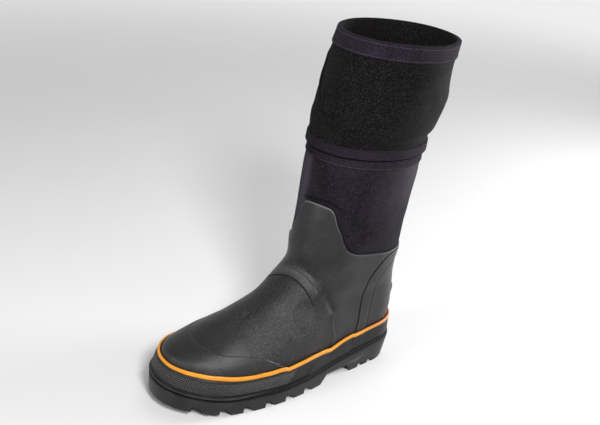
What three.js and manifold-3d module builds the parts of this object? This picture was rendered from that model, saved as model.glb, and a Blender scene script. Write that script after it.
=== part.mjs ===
// A left wader boot: a rubber foot shell over a neoprene sock, on a lugged sole, with the lower end
// of the wader's leg. Millimetres, +Z up. The toe points to -Y and the outer side to +X. The origin
// is on the floor under the heel.
import * as THREE from "three";
import { mergeVertices } from "three/addons/utils/BufferGeometryUtils.js";
import Module from "manifold-3d";

const wasm = await Module();
wasm.setup();

// Sole sizes
const soleLength = 320;
const heelOverhang = 45; // from the origin to the back of the sole
const ballWidth = 118; // outsole, at its widest
const heelWidth = 88;
const soleTopAtBall = 22.5;
const heelRise = 12.5; // the sole's top at the heel's back, above the ball
const toeSpring = 11; // the sole's top at the toe, above the ball
const treadSpring = 9; // the tread's lift at the toe
const treadCurve = 1.6; // how late the tread lifts
const waistShare = 0.35; // the waist's place along the foot, from the heel's back
const ballShare = 0.62;
const toeLedge = 6.5; // the sole's edge beyond the rubber band, at the toe
const sideLedge = 3.5;
const heelLedge = 1.8;
const beadHeight = 2.6; // the rib round the top of the sole's edge
const grooveHeight = 3.2; // the groove under it
const grooveDepth = 2.4;
const edgeRound = 0.9;
const treadInset = 1;
const heelTaper = 5.5; // how far the heel narrows down to the floor
const lugHeight = 7;
const lugPitch = 27.5;
const lugGap = 6; // between two lugs, at their root
const lugSlant = 7; // of a lug's toe side
const toeLugDepth = 22;
const treadChannel = 5; // between the middle and the side lugs
const treadMiddle = 26; // width of the middle lugs
const treadBack = 86; // from the origin forward to the back of the forefoot's tread
const archClearance = 12; // from the floor to the sole at the waist
const archSlant = 10; // of the heel's front face and of the tread's back face
const heelBreast = 34; // from the origin forward to the heel's front edge on the floor
const heelFrontLug = 8; // length of the heel's front lug
const heelLugPitch = 15.5;
const heelLugGap = 4.5;
const heelLugSlant = 1.5;
const heelLugHeight = 5.5;
const heelSpine = 24; // width of the uncut middle of the heel

// Upper sizes
const rubberWall = 2.4;
const neopreneWall = 5;
const bandHeight = 16.5; // the rubber band around the foot, above the sole
const bandWall = 2.6;
const bandFlare = 0.8; // how much thicker the band is at its foot
const bandRake = 4; // how far the toe leans back over the band's height
const stripeHeight = 4;
const stripeWall = 3.1;
const stripeShoulder = 0.25; // of its height, from its edge to its full thickness
const bendHeight = 137; // the ankle bend, where the instep turns into the shin
const bendReach = 112;
const counterHeight = 116; // the narrowest place at the back of the ankle
const counterReach = 37;
const ankleWidth = 88;
const toeSwing = 8; // the toe's swing to the inner side
const swingShare = 0.55; // where the swing begins along the foot, from the heel's back
const bandNose = 1.2; // length of the toe's rounding, in half widths of the ball
const bandSeat = 0.95; // length of the heel's rounding, in half widths of the heel
const sagReach = 0.33; // how high the sections follow the sole's curve, as a share of the bend

// Shaft sizes
const shaftHeight = 288;
const shaftWidth = 120;
const shaftFront = 86; // from the origin forward to the shin at the shaft's top
const shaftBack = 58;
const shaftLean = 11; // how far the shaft's top leans to the inner side
const collarFront = 215; // top of the rubber tab on the shin
const collarSide = 159; // the rubber's lowest edge, over the ankle
const shaftTapeHeight = 10;
const shaftTapeDrop = 16; // from the shaft's top down to its tape
const shaftTapeWall = 1.2;

// Leg sizes
const legHeight = 400;
const legWall = 3.5;
const legFront = 60; // from the origin forward to the leg's front at its top
const legBack = 77;
const legWidth = 138;
const legRound = 1.3; // length of its rounding at the front and the back, in half widths
const legOverlap = 14; // how far the leg comes down over the shaft
const legTapeHeight = 11;
const legTapeWall = 1.4;
const legHemHeight = 18;
const legHemWall = 1.6;

// Small parts
const capWall = 1.2;
const capLength = 46; // of the toe cap, along the ridge
const capTail = 130; // from the toe back to where the cap's edge runs out
const capHeight = 70.5;
const stripWall = 1.3;
const stripReach = 31; // from the origin forward to the ankle strip's front edge
const stripHeight = 157;
const bridgeWall = 1.2;
const insoleWall = 4;
const insoleClearance = 1.2; // between the insole's edge and the sock
const spurHeight = 83;
const spurDepth = 17;
const spurWidth = 26;
const spurReach = 8;

// Fits and facets
const gap = 0.3;
const pointsAround = 36;
const samplesPerSide = 60;
const normalStep = 0.5; // between the sections that a normal is taken from
const endRoundness = 2.15;

const toeY = heelOverhang - soleLength;
const upperToeY = toeY + toeLedge + bandWall + bandFlare;
const upperHeelY = heelOverhang - heelLedge - bandWall - bandFlare;
const upperBallHalf = ballWidth / 2 - sideLedge - bandWall - bandFlare;
const upperHeelHalf = heelWidth / 2 - heelLedge - bandWall - bandFlare;
const stripeTop = bandHeight + gap + stripeHeight;

const lerp = (a, b, share) => a + (b - a) * share;
const smooth = (share) => {
  const s = Math.min(1, Math.max(0, share));
  return s * s * (3 - 2 * s);
};

// A smooth curve through the rows of a table: column "of" against column "by".
function curveThrough(rows, by, of, at) {
  const last = rows.length - 1;
  const slope = (k) => {
    const a = rows[Math.max(0, k - 1)];
    const b = rows[k];
    const c = rows[Math.min(last, k + 1)];
    const before = b[by] - a[by];
    const after = c[by] - b[by];
    if (!before) return (c[of] - b[of]) / after;
    if (!after) return (b[of] - a[of]) / before;
    return (
      (((c[of] - b[of]) / after) * before + ((b[of] - a[of]) / before) * after) /
      (before + after)
    );
  };
  let k = 0;
  while (k < last - 1 && at > rows[k + 1][by]) k += 1;
  const width = rows[k + 1][by] - rows[k][by];
  const s = (at - rows[k][by]) / width;
  if (s < 0) return rows[k][of] + slope(k) * width * s;
  if (s > 1) return rows[k + 1][of] + slope(k + 1) * width * (s - 1);
  const h00 = (1 + 2 * s) * (1 - s) ** 2;
  const h10 = s * (1 - s) ** 2;
  const h01 = s * s * (3 - 2 * s);
  const h11 = s * s * (s - 1);
  return (
    h00 * rows[k][of] +
    h10 * width * slope(k) +
    h01 * rows[k + 1][of] +
    h11 * width * slope(k + 1)
  );
}

const alongFoot = (y) => (heelOverhang - y) / soleLength;

// How far each side of the foot has swelled from the heel's width, 0, to the ball's, 1, from the
// heel's back to the toe.
const swells = [
  { at: 0, outer: 0, inner: 0 },
  { at: 0.14, outer: 0.04, inner: 0 },
  { at: 0.36, outer: 0.38, inner: -0.2 },
  { at: 0.5, outer: 0.93, inner: 0.3 },
  { at: 0.62, outer: 1.12, inner: 0.75 },
  { at: 0.74, outer: 1.05, inner: 0.97 },
  { at: 0.84, outer: 0.85, inner: 0.95 },
  { at: 1, outer: 0.5, inner: 0.75 },
];
const swell = (side, y) =>
  curveThrough(swells, "at", side > 0 ? "outer" : "inner", alongFoot(y));

// The sole's top, from the heel's back to the toe: shares of the heel's rise and of the toe's.
const soleTops = [
  { at: 0, heel: 1, toe: 0 },
  { at: 0.1, heel: 0.8, toe: 0 },
  { at: 0.2, heel: 0.5, toe: 0 },
  { at: 0.32, heel: 0.24, toe: 0 },
  { at: 0.48, heel: 0.05, toe: 0 },
  { at: 0.66, heel: 0, toe: 0 },
  { at: 0.82, heel: 0, toe: 0.22 },
  { at: 1, heel: 0, toe: 1 },
];
const soleTop = (y) =>
  soleTopAtBall +
  heelRise * curveThrough(soleTops, "at", "heel", alongFoot(y)) +
  toeSpring * curveThrough(soleTops, "at", "toe", alongFoot(y));
const soleChord = (y) => lerp(soleTop(heelOverhang), soleTop(toeY), alongFoot(y));
const soleSag = (y) => soleTop(y) - soleChord(y);
const footCentre = (y) =>
  -toeSwing * smooth((alongFoot(y) - swingShare) / (1 - swingShare));

// Sections of the boot above the rubber band. The front (fy, fz) and the back (by, bz) run from 0,
// on the band's top, through 1, at the ankle bend, to 2, at the shaft's top. The widths at the ball
// (fore) and at the heel (rear) are shares of those of the foot, the ankle or the shaft. The
// roundings of the front (nose) and the back (seat) are in half widths.
const bootSections = [
  { fy: 0.03, fz: 0.13, by: 0.1, bz: 0.2, of: "foot", fore: 0.98, rear: 1.02, nose: 1.75, seat: 0.95 },
  { fy: 0.11, fz: 0.19, by: 0.08, bz: 0.36, of: "foot", fore: 0.95, rear: 1.03, nose: 2.05, seat: 0.97 },
  { fy: 0.24, fz: 0.26, by: 0.25, bz: 0.54, of: "foot", fore: 0.9, rear: 1.03, nose: 2.35, seat: 1 },
  { fy: 0.43, fz: 0.37, by: 0.6, bz: 0.74, of: "foot", fore: 0.84, rear: 1.04, nose: 2.35, seat: 1.05 },
  { fy: 0.66, fz: 0.54, by: 0.9, bz: 0.92, of: "foot", fore: 0.8, rear: 1.05, nose: 2.1, seat: 1.15 },
  { fy: 0.86, fz: 0.76, by: 1, bz: 1.03, of: "ankle", fore: 0.96, rear: 0.98, nose: 1.8, seat: 1.25 },
  { fy: 1, fz: 0.97, by: 0.98, bz: 1.1, of: "ankle", fore: 1, rear: 1, nose: 1.5, seat: 1.3 },
  { fy: 1.25, fz: 1.17, by: 1.1, bz: 1.21, of: "ankle", fore: 1.07, rear: 1.07, nose: 1.3, seat: 1.35 },
  { fy: 1.5, fz: 1.38, by: 1.3, bz: 1.355, of: "shaft", fore: 0.91, rear: 0.91, nose: 1.3, seat: 1.35 },
  { fy: 1.8, fz: 1.6, by: 1.5, bz: 1.57, of: "shaft", fore: 0.96, rear: 0.96, nose: 1.3, seat: 1.3 },
  { fy: 1.87, fz: 1.78, by: 1.8, bz: 1.78, of: "shaft", fore: 0.99, rear: 0.99, nose: 1.3, seat: 1.3 },
  { fy: 2, fz: 2, by: 2, bz: 2, of: "shaft", fore: 0.96, rear: 0.96, nose: 1.3, seat: 1.3 },
];
const halfWidths = {
  foot: { fore: upperBallHalf, rear: upperHeelHalf },
  ankle: { fore: ankleWidth / 2, rear: ankleWidth / 2 },
  shaft: { fore: shaftWidth / 2, rear: shaftWidth / 2 },
};
const through = (a, b, c, share) => (share < 1 ? lerp(a, b, share) : lerp(b, c, share - 1));

function bootRows() {
  const toeBandZ = soleTop(toeY) + bandHeight;
  const heelBandZ = soleTop(heelOverhang) + bandHeight;
  const feather = {
    frontY: upperToeY,
    frontZ: soleTop(upperToeY) + gap,
    backY: upperHeelY,
    backZ: soleTop(upperHeelY) + gap,
    fore: upperBallHalf,
    rear: upperHeelHalf,
    nose: upperBallHalf * bandNose,
    seat: upperHeelHalf * bandSeat,
    sag: 1,
    lean: 0,
  };
  const bandTop = {
    ...feather,
    frontY: upperToeY + bandRake,
    frontZ: feather.frontZ + bandHeight,
    backZ: feather.backZ + bandHeight,
    sag: 0.9,
  };
  const above = bootSections.map((row) => {
    const { fore, rear } = halfWidths[row.of];
    return {
      frontY: through(upperToeY + bandRake, -bendReach, -shaftFront, row.fy),
      frontZ: through(toeBandZ, bendHeight, shaftHeight, row.fz),
      backY: through(upperHeelY, counterReach, shaftBack, row.by),
      backZ: through(heelBandZ, counterHeight, shaftHeight, row.bz),
      fore: fore * row.fore,
      rear: rear * row.rear,
      nose: fore * row.nose,
      seat: rear * row.seat,
      sag: smooth(1 - row.fz / sagReach),
      lean: shaftLean * smooth(row.fz - 1),
    };
  });
  return [feather, bandTop, ...above];
}

// A form is a stack of sections. A level is a section's mean height above the lowest one. The lowest
// ring's points are set to the height that floorAt gives for their place along the foot.
function makeForm(rows, floorAt = null) {
  const base = (rows[0].frontZ + rows[0].backZ) / 2;
  const table = rows.map((row) => ({ ...row, level: (row.frontZ + row.backZ) / 2 - base }));
  const columns = Object.keys(rows[0]);
  const sectionAt = (level) =>
    Object.fromEntries(columns.map((c) => [c, curveThrough(table, "level", c, level)]));
  const roundEnd = (distance, length) =>
    distance >= length
      ? 1
      : (1 - Math.max(0, 1 - distance / length) ** endRoundness) ** (1 / endRoundness);

  // One side of a section, from the middle of the back to the middle of the front.
  function sideOf(section, side) {
    const points = [];
    const length = section.backY - section.frontY;
    for (let k = 0; k <= samplesPerSide; k += 1) {
      const share = (1 - Math.cos((Math.PI * k) / samplesPerSide)) / 2;
      const y = lerp(section.backY, section.frontY, share);
      const half = lerp(section.rear, section.fore, swell(side, y));
      const ends =
        roundEnd((1 - share) * length, section.nose) * roundEnd(share * length, section.seat);
      points.push(
        new THREE.Vector3(
          footCentre(y) - section.lean + side * half * ends,
          y,
          lerp(section.backZ, section.frontZ, share) + section.sag * soleSag(y),
        ),
      );
    }
    return points;
  }

  // Evenly spaced points of a polyline, without its last one.
  function spaced(points, count) {
    const lengths = [0];
    for (let k = 1; k < points.length; k += 1)
      lengths.push(lengths[k - 1] + points[k].distanceTo(points[k - 1]));
    const total = lengths.at(-1);
    const out = [];
    let k = 0;
    for (let j = 0; j < count; j += 1) {
      const target = (total * j) / count;
      while (lengths[k + 1] < target) k += 1;
      const share = (target - lengths[k]) / (lengths[k + 1] - lengths[k]);
      out.push(points[k].clone().lerp(points[k + 1], share));
    }
    return out;
  }

  // A closed ring, from the middle of the back round the outer side to the front, and back on the
  // inner side.
  function ring(level, count) {
    const section = sectionAt(level);
    const outer = spaced(sideOf(section, 1), count / 2);
    const inner = spaced(sideOf(section, -1).reverse(), count / 2);
    return [...outer, ...inner];
  }

  // Rings at the levels, moved out from the form along its normals.
  function skin(levels, outward, count = pointsAround) {
    return levels.map((level) => {
      const here = ring(level, count);
      const below = ring(level - normalStep, count);
      const above = ring(level + normalStep, count);
      return here.map((point, j) => {
        const around = here[(j + 1) % count].clone().sub(here[(j + count - 1) % count]);
        const normal = above[j].clone().sub(below[j]).cross(around).normalize();
        if (level <= 0) normal.setZ(0).normalize();
        const distance = typeof outward === "function" ? outward(point, level) : outward;
        const moved = point.clone().addScaledVector(normal, distance);
        if (level === 0 && floorAt) moved.z = floorAt(moved.y);
        return moved;
      });
    });
  }
  const levels = table.map((row) => row.level);
  const frontOf = (level) => sectionAt(level).frontZ;
  return { skin, levels, frontOf, top: levels.at(-1) };
}

// A closed mesh from points and triangles.
function meshFrom(points, triangles) {
  const geometry = new THREE.BufferGeometry();
  const flat = points.flatMap((p) => [p.x, p.y, p.z]);
  geometry.setAttribute("position", new THREE.Float32BufferAttribute(flat, 3));
  geometry.setIndex(triangles);
  return geometry;
}

// Triangles between two neighbouring rings. The strips of a wall's two sides are split along the same
// diagonal, so that curved pieces on one form lie evenly apart.
function facesBetween(lower, upper, count, inside = false) {
  const faces = [];
  for (let j = 0; j < count; j += 1) {
    const a = lower + j;
    const b = lower + ((j + 1) % count);
    const c = upper + ((j + 1) % count);
    const d = upper + j;
    if (inside) faces.push(a, d, b, b, d, c);
    else faces.push(a, d, c, a, c, b);
  }
  return faces;
}

// A tube with a wall, from an outer and an inner stack of rings, open at both ends.
function tubeWall(outer, inner) {
  const count = outer[0].length;
  const loop = [...outer, ...[...inner].reverse()];
  const faces = loop.flatMap((ring, i) =>
    facesBetween(i * count, ((i + 1) % loop.length) * count, count, i >= outer.length),
  );
  return meshFrom(loop.flat(), faces);
}

// A solid from a stack of rings, closed at both ends by strips from side to side.
function filledStack(rings) {
  const count = rings[0].length;
  const faces = rings.slice(1).flatMap((ring, i) => facesBetween(i * count, (i + 1) * count, count));
  const lastRing = (rings.length - 1) * count;
  for (let j = 0; j < count / 2; j += 1) {
    const a = j;
    const b = j + 1;
    const c = count - 1 - j;
    const d = (count - j) % count;
    if (b !== c) {
      faces.push(b, c, a);
      faces.push(lastRing + a, lastRing + c, lastRing + b);
    }
    if (a !== d) {
      faces.push(a, c, d);
      faces.push(lastRing + d, lastRing + c, lastRing + a);
    }
  }
  return meshFrom(rings.flat(), faces);
}

function solidOf(geometry) {
  const plain = geometry.index ? geometry.clone() : geometry;
  plain.deleteAttribute("normal");
  plain.deleteAttribute("uv");
  const merged = mergeVertices(plain, 1e-4);
  return new wasm.Manifold(
    new wasm.Mesh({
      numProp: 3,
      vertProperties: new Float32Array(merged.attributes.position.array),
      triVerts: new Uint32Array(merged.index.array),
    }),
  );
}

function geometryOf(solid) {
  const mesh = solid.getMesh();
  const geometry = new THREE.BufferGeometry();
  geometry.setAttribute("position", new THREE.BufferAttribute(mesh.vertProperties, 3));
  geometry.setIndex(new THREE.BufferAttribute(mesh.triVerts, 1));
  return geometry;
}

// A prism whose outline is drawn in the side view, from x = low to x = high.
function sidePrism(outline, low, high) {
  const shape = new THREE.Shape(outline.map(([y, z]) => new THREE.Vector2(y, z)));
  const geometry = new THREE.ExtrudeGeometry(shape, { depth: high - low, bevelEnabled: false });
  geometry.applyMatrix4(
    new THREE.Matrix4().makeBasis(
      new THREE.Vector3(0, 1, 0),
      new THREE.Vector3(0, 0, 1),
      new THREE.Vector3(1, 0, 0),
    ),
  );
  return solidOf(geometry.translate(low, 0, 0));
}

const boot = makeForm(bootRows(), (y) => soleTop(y) + gap);
const wide = legWidth; // reach of a cutting prism to each side
const far = legHeight; // reach of a cutting prism's outline past the boot

// The boot's levels: one at each section, and one more before those of the instep and the ankle.
const firstBend = 6;
const lastBend = 10;
const sectionLevels = boot.levels.filter((level) => level > stripeTop);
const bootLevels = [0, bandHeight, stripeTop, ...sectionLevels].flatMap((level, k, all) => {
  const bending = k >= firstBend && k <= lastBend;
  return bending ? [(all[k - 1] + level) / 2, level] : [level];
});
const aboveTab = bootLevels.findIndex((level) => boot.frontOf(level) > collarFront);
const tabLevels = bootLevels.slice(0, aboveTab + 1);
const shellLevels = [stripeTop + gap, ...tabLevels.filter((level) => level > stripeTop)];

// Rings that lie on a form's facets: between two of its levels they follow the flat strips that
// join these.
function onFacets(form, formLevels, levels, outward) {
  return levels.map((level) => {
    const above = formLevels.findIndex((each) => each >= level);
    const high = form.skin([formLevels[above]], outward)[0];
    if (formLevels[above] === level) return high;
    const low = form.skin([formLevels[above - 1]], outward)[0];
    const share = (level - formLevels[above - 1]) / (formLevels[above] - formLevels[above - 1]);
    return low.map((point, j) => point.clone().lerp(high[j], share));
  });
}
const onBoot = (levels, outward) => onFacets(boot, bootLevels, levels, outward);

// Places in the side view
const ankleY = (back) => lerp(-bendReach, counterReach, back);
const collarZ = (up) => lerp(collarSide, collarFront, up);
const stripeZ = (y) => soleTop(y) + gap + stripeTop + gap;

const group = new THREE.Group();
const colours = {
  rubber: { color: 0x2b2b2c, roughness: 0.55 },
  sole: { color: 0x262627, roughness: 0.65 },
  stripe: { color: 0xf39a2c, roughness: 0.5 },
  neoprene: { color: 0x1d1c24, roughness: 0.9 },
  cloth: { color: 0x0e0e0e, roughness: 0.95 },
  tape: { color: 0x241f2c, roughness: 0.9 },
};
function add(name, geometry, finish) {
  const material = new THREE.MeshStandardMaterial({ metalness: 0, ...colours[finish] });
  const mesh = new THREE.Mesh(geometry, material);
  mesh.name = name;
  group.add(mesh);
}

// The rubber's top edge in the side view, from the tab on the shin to the back. It runs from 0, at
// the bend, to 1, at the narrowest place of the back, and from 0, over the ankle, to 1, at the tab's
// top.
const collarLine = [
  { back: 0.17, up: 1 },
  { back: 0.205, up: 0.9 },
  { back: 0.225, up: 0.68 },
  { back: 0.245, up: 0.38 },
  { back: 0.28, up: 0.22 },
  { back: 0.335, up: 0.11 },
  { back: 0.42, up: 0.03 },
  { back: 0.58, up: 0 },
  { back: 0.78, up: 0.04 },
  { back: 1.05, up: 0.07 },
];

function upper() {
  const edge = collarLine.map(({ back, up }) => [ankleY(back), collarZ(up)]);
  const outline = [[-far, edge[0][1]], ...edge, [far, edge.at(-1)[1]], [far, far], [-far, far]];
  const shell = tubeWall(boot.skin(tabLevels, 0), boot.skin(tabLevels, -rubberWall));
  return geometryOf(solidOf(shell).subtract(sidePrism(outline, -wide, wide)));
}

const sockOut = -(rubberWall + gap);
const sockIn = sockOut - neopreneWall;
function sock() {
  const inner = bootLevels.filter((level, k) => k % 2 === 0 || level === boot.top);
  return tubeWall(boot.skin(bootLevels, sockOut), boot.skin(inner, sockIn));
}

function insole() {
  const edge = boot.skin([0], sockIn - insoleClearance)[0];
  return filledStack([edge, edge.map((point) => point.clone().setZ(point.z + insoleWall))]);
}

// A piece that lies on the boot, cut out of a shell by its outline in the side view.
function overlay(outline, wall) {
  const shell = tubeWall(onBoot(shellLevels, gap + wall), onBoot(shellLevels, gap));
  return geometryOf(solidOf(shell).intersect(sidePrism(outline, -wide, wide)));
}

// The toe cap's edge, from its middle on the ridge, 0, back to its end on the stripe, 1.
const capEdge = [
  { along: 0, up: 1 },
  { along: 0.15, up: 0.8 },
  { along: 0.37, up: 0.72 },
  { along: 0.55, up: 0.62 },
  { along: 0.72, up: 0.4 },
  { along: 0.88, up: 0.12 },
  { along: 1, up: -0.08 },
];
function toeCap() {
  const edge = capEdge.map(({ along, up }) => {
    const y = toeY + lerp(capLength, capTail, along);
    return [y, lerp(stripeZ(y), capHeight, up)];
  });
  const start = [toeY - capLength, 0];
  const under = [edge.at(-1)[0], 0];
  const above = [toeY, capHeight + capLength];
  return overlay([start, under, ...edge.reverse(), above], capWall);
}

// The raised strap over the bend of the ankle: its front and rear edges, as shares of the bend's
// height and reach.
const bridgeEdges = [
  { up: 0.64, front: 0.87, rear: 0.73 },
  { up: 0.73, front: 0.92, rear: 0.775 },
  { up: 0.81, front: 0.955, rear: 0.815 },
  { up: 0.88, front: 0.99, rear: 0.86 },
  { up: 0.94, front: 1.035, rear: 0.895 },
  { up: 1, front: 1.1, rear: 0.94 },
  { up: 1.05, front: 1.2, rear: 1 },
  { up: 1.1, front: 1.32, rear: 1.1 },
];
function instepBridge() {
  const front = bridgeEdges.map((row) => [-bendReach * row.front, bendHeight * row.up]);
  const rear = bridgeEdges.map((row) => [-bendReach * row.rear, bendHeight * row.up]);
  return overlay([...front, ...rear.reverse()], bridgeWall);
}

// The raised strip that climbs from the stripe to the back of the ankle: shares of its reach, and
// of its height.
const stripFront = [
  { out: 1, up: 0 },
  { out: 1, up: 0.39 },
  { out: 0.9, up: 0.57 },
  { out: 0.74, up: 0.69 },
  { out: 0.48, up: 0.79 },
  { out: 0.03, up: 0.88 },
  { out: -0.4, up: 0.94 },
  { out: -1, up: 0.97 },
  { out: -3, up: 0.98 },
];
const stripRear = [
  { out: 0.59, up: 0 },
  { out: 0.61, up: 0.36 },
  { out: 0.53, up: 0.53 },
  { out: 0.39, up: 0.63 },
  { out: 0.03, up: 0.75 },
  { out: -0.4, up: 0.82 },
  { out: -1, up: 0.86 },
  { out: -3, up: 0.87 },
];
function ankleStrip() {
  const low = stripeZ(-stripReach) - stripeHeight;
  const place = ({ out, up }) => [-stripReach * out, lerp(low, stripHeight, up)];
  return overlay([...stripFront.map(place), ...stripRear.map(place).reverse()], stripWall);
}

function heelSpur() {
  const back = upperHeelY + spurReach;
  const outline = [
    [counterReach, spurHeight],
    [back, spurHeight],
    [back, spurHeight - spurDepth / 3],
    [back - spurReach / 2, spurHeight - spurDepth],
    [counterReach, spurHeight - spurDepth],
  ];
  const foot = filledStack(onBoot(shellLevels, gap));
  return geometryOf(sidePrism(outline, -spurWidth / 2, spurWidth / 2).subtract(solidOf(foot)));
}

function rubberBand() {
  const levels = [0, bandHeight];
  const wall = (point, level) => bandWall + bandFlare * (1 - level / bandHeight);
  return tubeWall(boot.skin(levels, wall), boot.skin(levels, gap));
}

function stripe() {
  const levels = [bandHeight + gap, stripeTop];
  const middle = [lerp(...levels, stripeShoulder), lerp(...levels, 1 - stripeShoulder)];
  const outer = boot.skin([levels[0], ...middle, levels[1]], (point, level) =>
    middle.includes(level) ? stripeWall : bandWall,
  );
  return tubeWall(outer, onBoot(levels, gap));
}

// The sole's edge from the floor up: shares of the wall's height, then of the groove and the bead
// above it. The last columns are how far the edge lies in, as shares of the tread's inset, of the
// groove's depth and of the rounding.
const edgeSteps = [
  { wall: 0, groove: 0, bead: 0, inset: 1, dent: 0, round: 0 },
  { wall: 1, groove: 0, bead: 0, inset: 0, dent: 0, round: 0 },
  { wall: 1, groove: 0.12, bead: 0, inset: 0, dent: 1, round: 0 },
  { wall: 1, groove: 0.88, bead: 0, inset: 0, dent: 1, round: 0 },
  { wall: 1, groove: 1, bead: 0, inset: 0, dent: 0, round: 0 },
  { wall: 1, groove: 1, bead: 0.7, inset: 0, dent: 0, round: 0 },
  { wall: 1, groove: 1, bead: 1, inset: 0, dent: 0, round: 1 },
];
const pastBall = (y) => smooth((alongFoot(y) - ballShare) / (1 - ballShare));
const treadLift = (y) => treadSpring * pastBall(y) ** treadCurve;

function soleBlock() {
  const ledge = (y) => {
    const behind = lerp(heelLedge, sideLedge, smooth(alongFoot(y) / waistShare));
    return lerp(behind, toeLedge, pastBall(y));
  };
  const rings = edgeSteps.map((step) => {
    const inset = (y) =>
      step.inset * (treadInset + heelTaper * smooth(1 - alongFoot(y) / waistShare)) +
      step.dent * grooveDepth +
      step.round * edgeRound;
    const outward = ({ y }) => bandWall + bandFlare + ledge(y) - inset(y);
    return boot.skin([0], outward)[0].map((point) => {
      const wallTop = soleTop(point.y) - grooveHeight - beadHeight;
      const onWall = lerp(treadLift(point.y), wallTop, step.wall);
      return point.setZ(onWall + grooveHeight * step.groove + beadHeight * step.bead);
    });
  });
  return solidOf(filledStack(rings));
}

// A notch across the tread, with a steep face to the toe and a slanted one to the heel.
function notch(y, width, slant, height, low, high) {
  const top = treadLift(y) + height;
  const back = y + width + slant;
  const outline = [
    [y, -height],
    [y, top],
    [y + width, top],
    [back, treadLift(y)],
    [back, -height],
  ];
  return sidePrism(outline, low, high);
}

// From the boot's middle out to both sides, from x = low to x = high: the ends of a pair of prisms.
const bothSides = (low, high) => [
  [low, high],
  [-high, -low],
];

function outsole() {
  const half = treadMiddle / 2;
  const arch = [
    [-treadBack, -lugHeight],
    [-treadBack, 0],
    [-treadBack + archSlant, archClearance],
    [-heelBreast - archSlant, archClearance],
    [-heelBreast, 0],
    [-heelBreast, -lugHeight],
  ];
  const cuts = [sidePrism(arch, -wide, wide)];
  const front = toeY + toeLugDepth;
  for (let y = -treadBack - lugPitch; y > front; y -= lugPitch)
    for (const ends of bothSides(half + treadChannel, wide))
      cuts.push(notch(y, lugGap, lugSlant, lugHeight, ...ends));
  const across = half + treadChannel / 2;
  for (let y = -treadBack - 1.5 * lugPitch; y > front; y -= lugPitch)
    cuts.push(notch(y, lugGap, lugSlant, lugHeight, -across, across));
  const back = -treadBack + archSlant;
  const roof = [back];
  while (roof.at(-1) > front + lugPitch) roof.push(roof.at(-1) - lugPitch);
  roof.push(front);
  const channel = [
    [back, -lugHeight],
    ...roof.map((y) => [y, treadLift(y) + lugHeight]),
    [front, -lugHeight],
  ];
  for (const ends of bothSides(half, half + treadChannel)) cuts.push(sidePrism(channel, ...ends));
  const lastNotch = heelOverhang - heelLugPitch;
  for (let y = heelFrontLug - heelBreast; y < lastNotch; y += heelLugPitch)
    for (const ends of bothSides(heelSpine / 2, wide))
      cuts.push(notch(y, heelLugGap, heelLugSlant, heelLugHeight, ...ends));
  return geometryOf(cuts.reduce((block, cut) => block.subtract(cut), soleBlock()));
}

function shaftTape() {
  const high = boot.top - shaftTapeDrop;
  const levels = [high - shaftTapeHeight, high];
  return tubeWall(onBoot(levels, sockOut + gap + shaftTapeWall), onBoot(levels, sockOut + gap));
}

// Sections of the leg, from the shaft's top, 0, to its own, 1. The other columns are shares of the
// way from the shaft's form, 0, to the leg's at its top, 1.
const legSections = [
  { up: 0, front: 0, back: 0, wide: 0 },
  { up: 0.08, front: 0.03, back: 0.35, wide: 0.25 },
  { up: 0.2, front: 0.08, back: 0.7, wide: 0.5 },
  { up: 0.38, front: 0.25, back: 0.85, wide: 0.65 },
  { up: 0.6, front: 0.5, back: 0.88, wide: 0.75 },
  { up: 0.82, front: 0.75, back: 0.9, wide: 0.9 },
  { up: 1, front: 1, back: 1, wide: 1 },
];
const legIn = sockOut + gap;
const legOut = legIn + legWall;
function legRows() {
  return legSections.map((row) => {
    const shaftHalf = (shaftWidth / 2) * bootSections.at(-1).fore;
    const half = lerp(shaftHalf + legOut, legWidth / 2, row.wide);
    const z = lerp(shaftHeight, legHeight, row.up);
    return {
      frontY: lerp(-shaftFront - legOut, -legFront, row.front),
      frontZ: z,
      backY: lerp(shaftBack + legOut, legBack, row.back),
      backZ: z,
      fore: half,
      rear: half,
      nose: half * legRound,
      seat: half * legRound,
      sag: 0,
      lean: shaftLean,
    };
  });
}
const leg = makeForm(legRows());
const legEdge = boot.top - legOverlap;

function legTube() {
  const cuffLevels = [legEdge, (legEdge + boot.top) / 2, boot.top];
  const outer = [...onBoot(cuffLevels, legOut), ...leg.skin(leg.levels.slice(1), 0)];
  const inner = [...onBoot(cuffLevels, legIn), ...leg.skin(leg.levels.slice(1), -legWall)];
  return tubeWall(outer, inner);
}

function legTape() {
  const levels = [legEdge, legEdge + legTapeHeight];
  return tubeWall(onBoot(levels, legOut + gap + legTapeWall), onBoot(levels, legOut + gap));
}

function legHem() {
  const levels = [leg.top - legHemHeight, leg.top];
  const rings = (outward) => onFacets(leg, leg.levels, levels, outward);
  return tubeWall(rings(gap + legHemWall), rings(gap));
}

add("outsole", outsole(), "sole");
add("insole", insole(), "neoprene");
add("upper", upper(), "rubber");
add("rubber_band", rubberBand(), "rubber");
add("piping_stripe", stripe(), "stripe");
add("toe_cap", toeCap(), "rubber");
add("instep_bridge", instepBridge(), "rubber");
add("ankle_strip", ankleStrip(), "rubber");
add("heel_spur", heelSpur(), "rubber");
add("neoprene_sock", sock(), "neoprene");
add("shaft_tape", shaftTape(), "tape");
add("leg", legTube(), "cloth");
add("leg_tape", legTape(), "tape");
add("leg_hem", legHem(), "tape");

export default group;
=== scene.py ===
import math

import bmesh
import bpy
import numpy as np
from mathutils import Matrix, Vector


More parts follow.
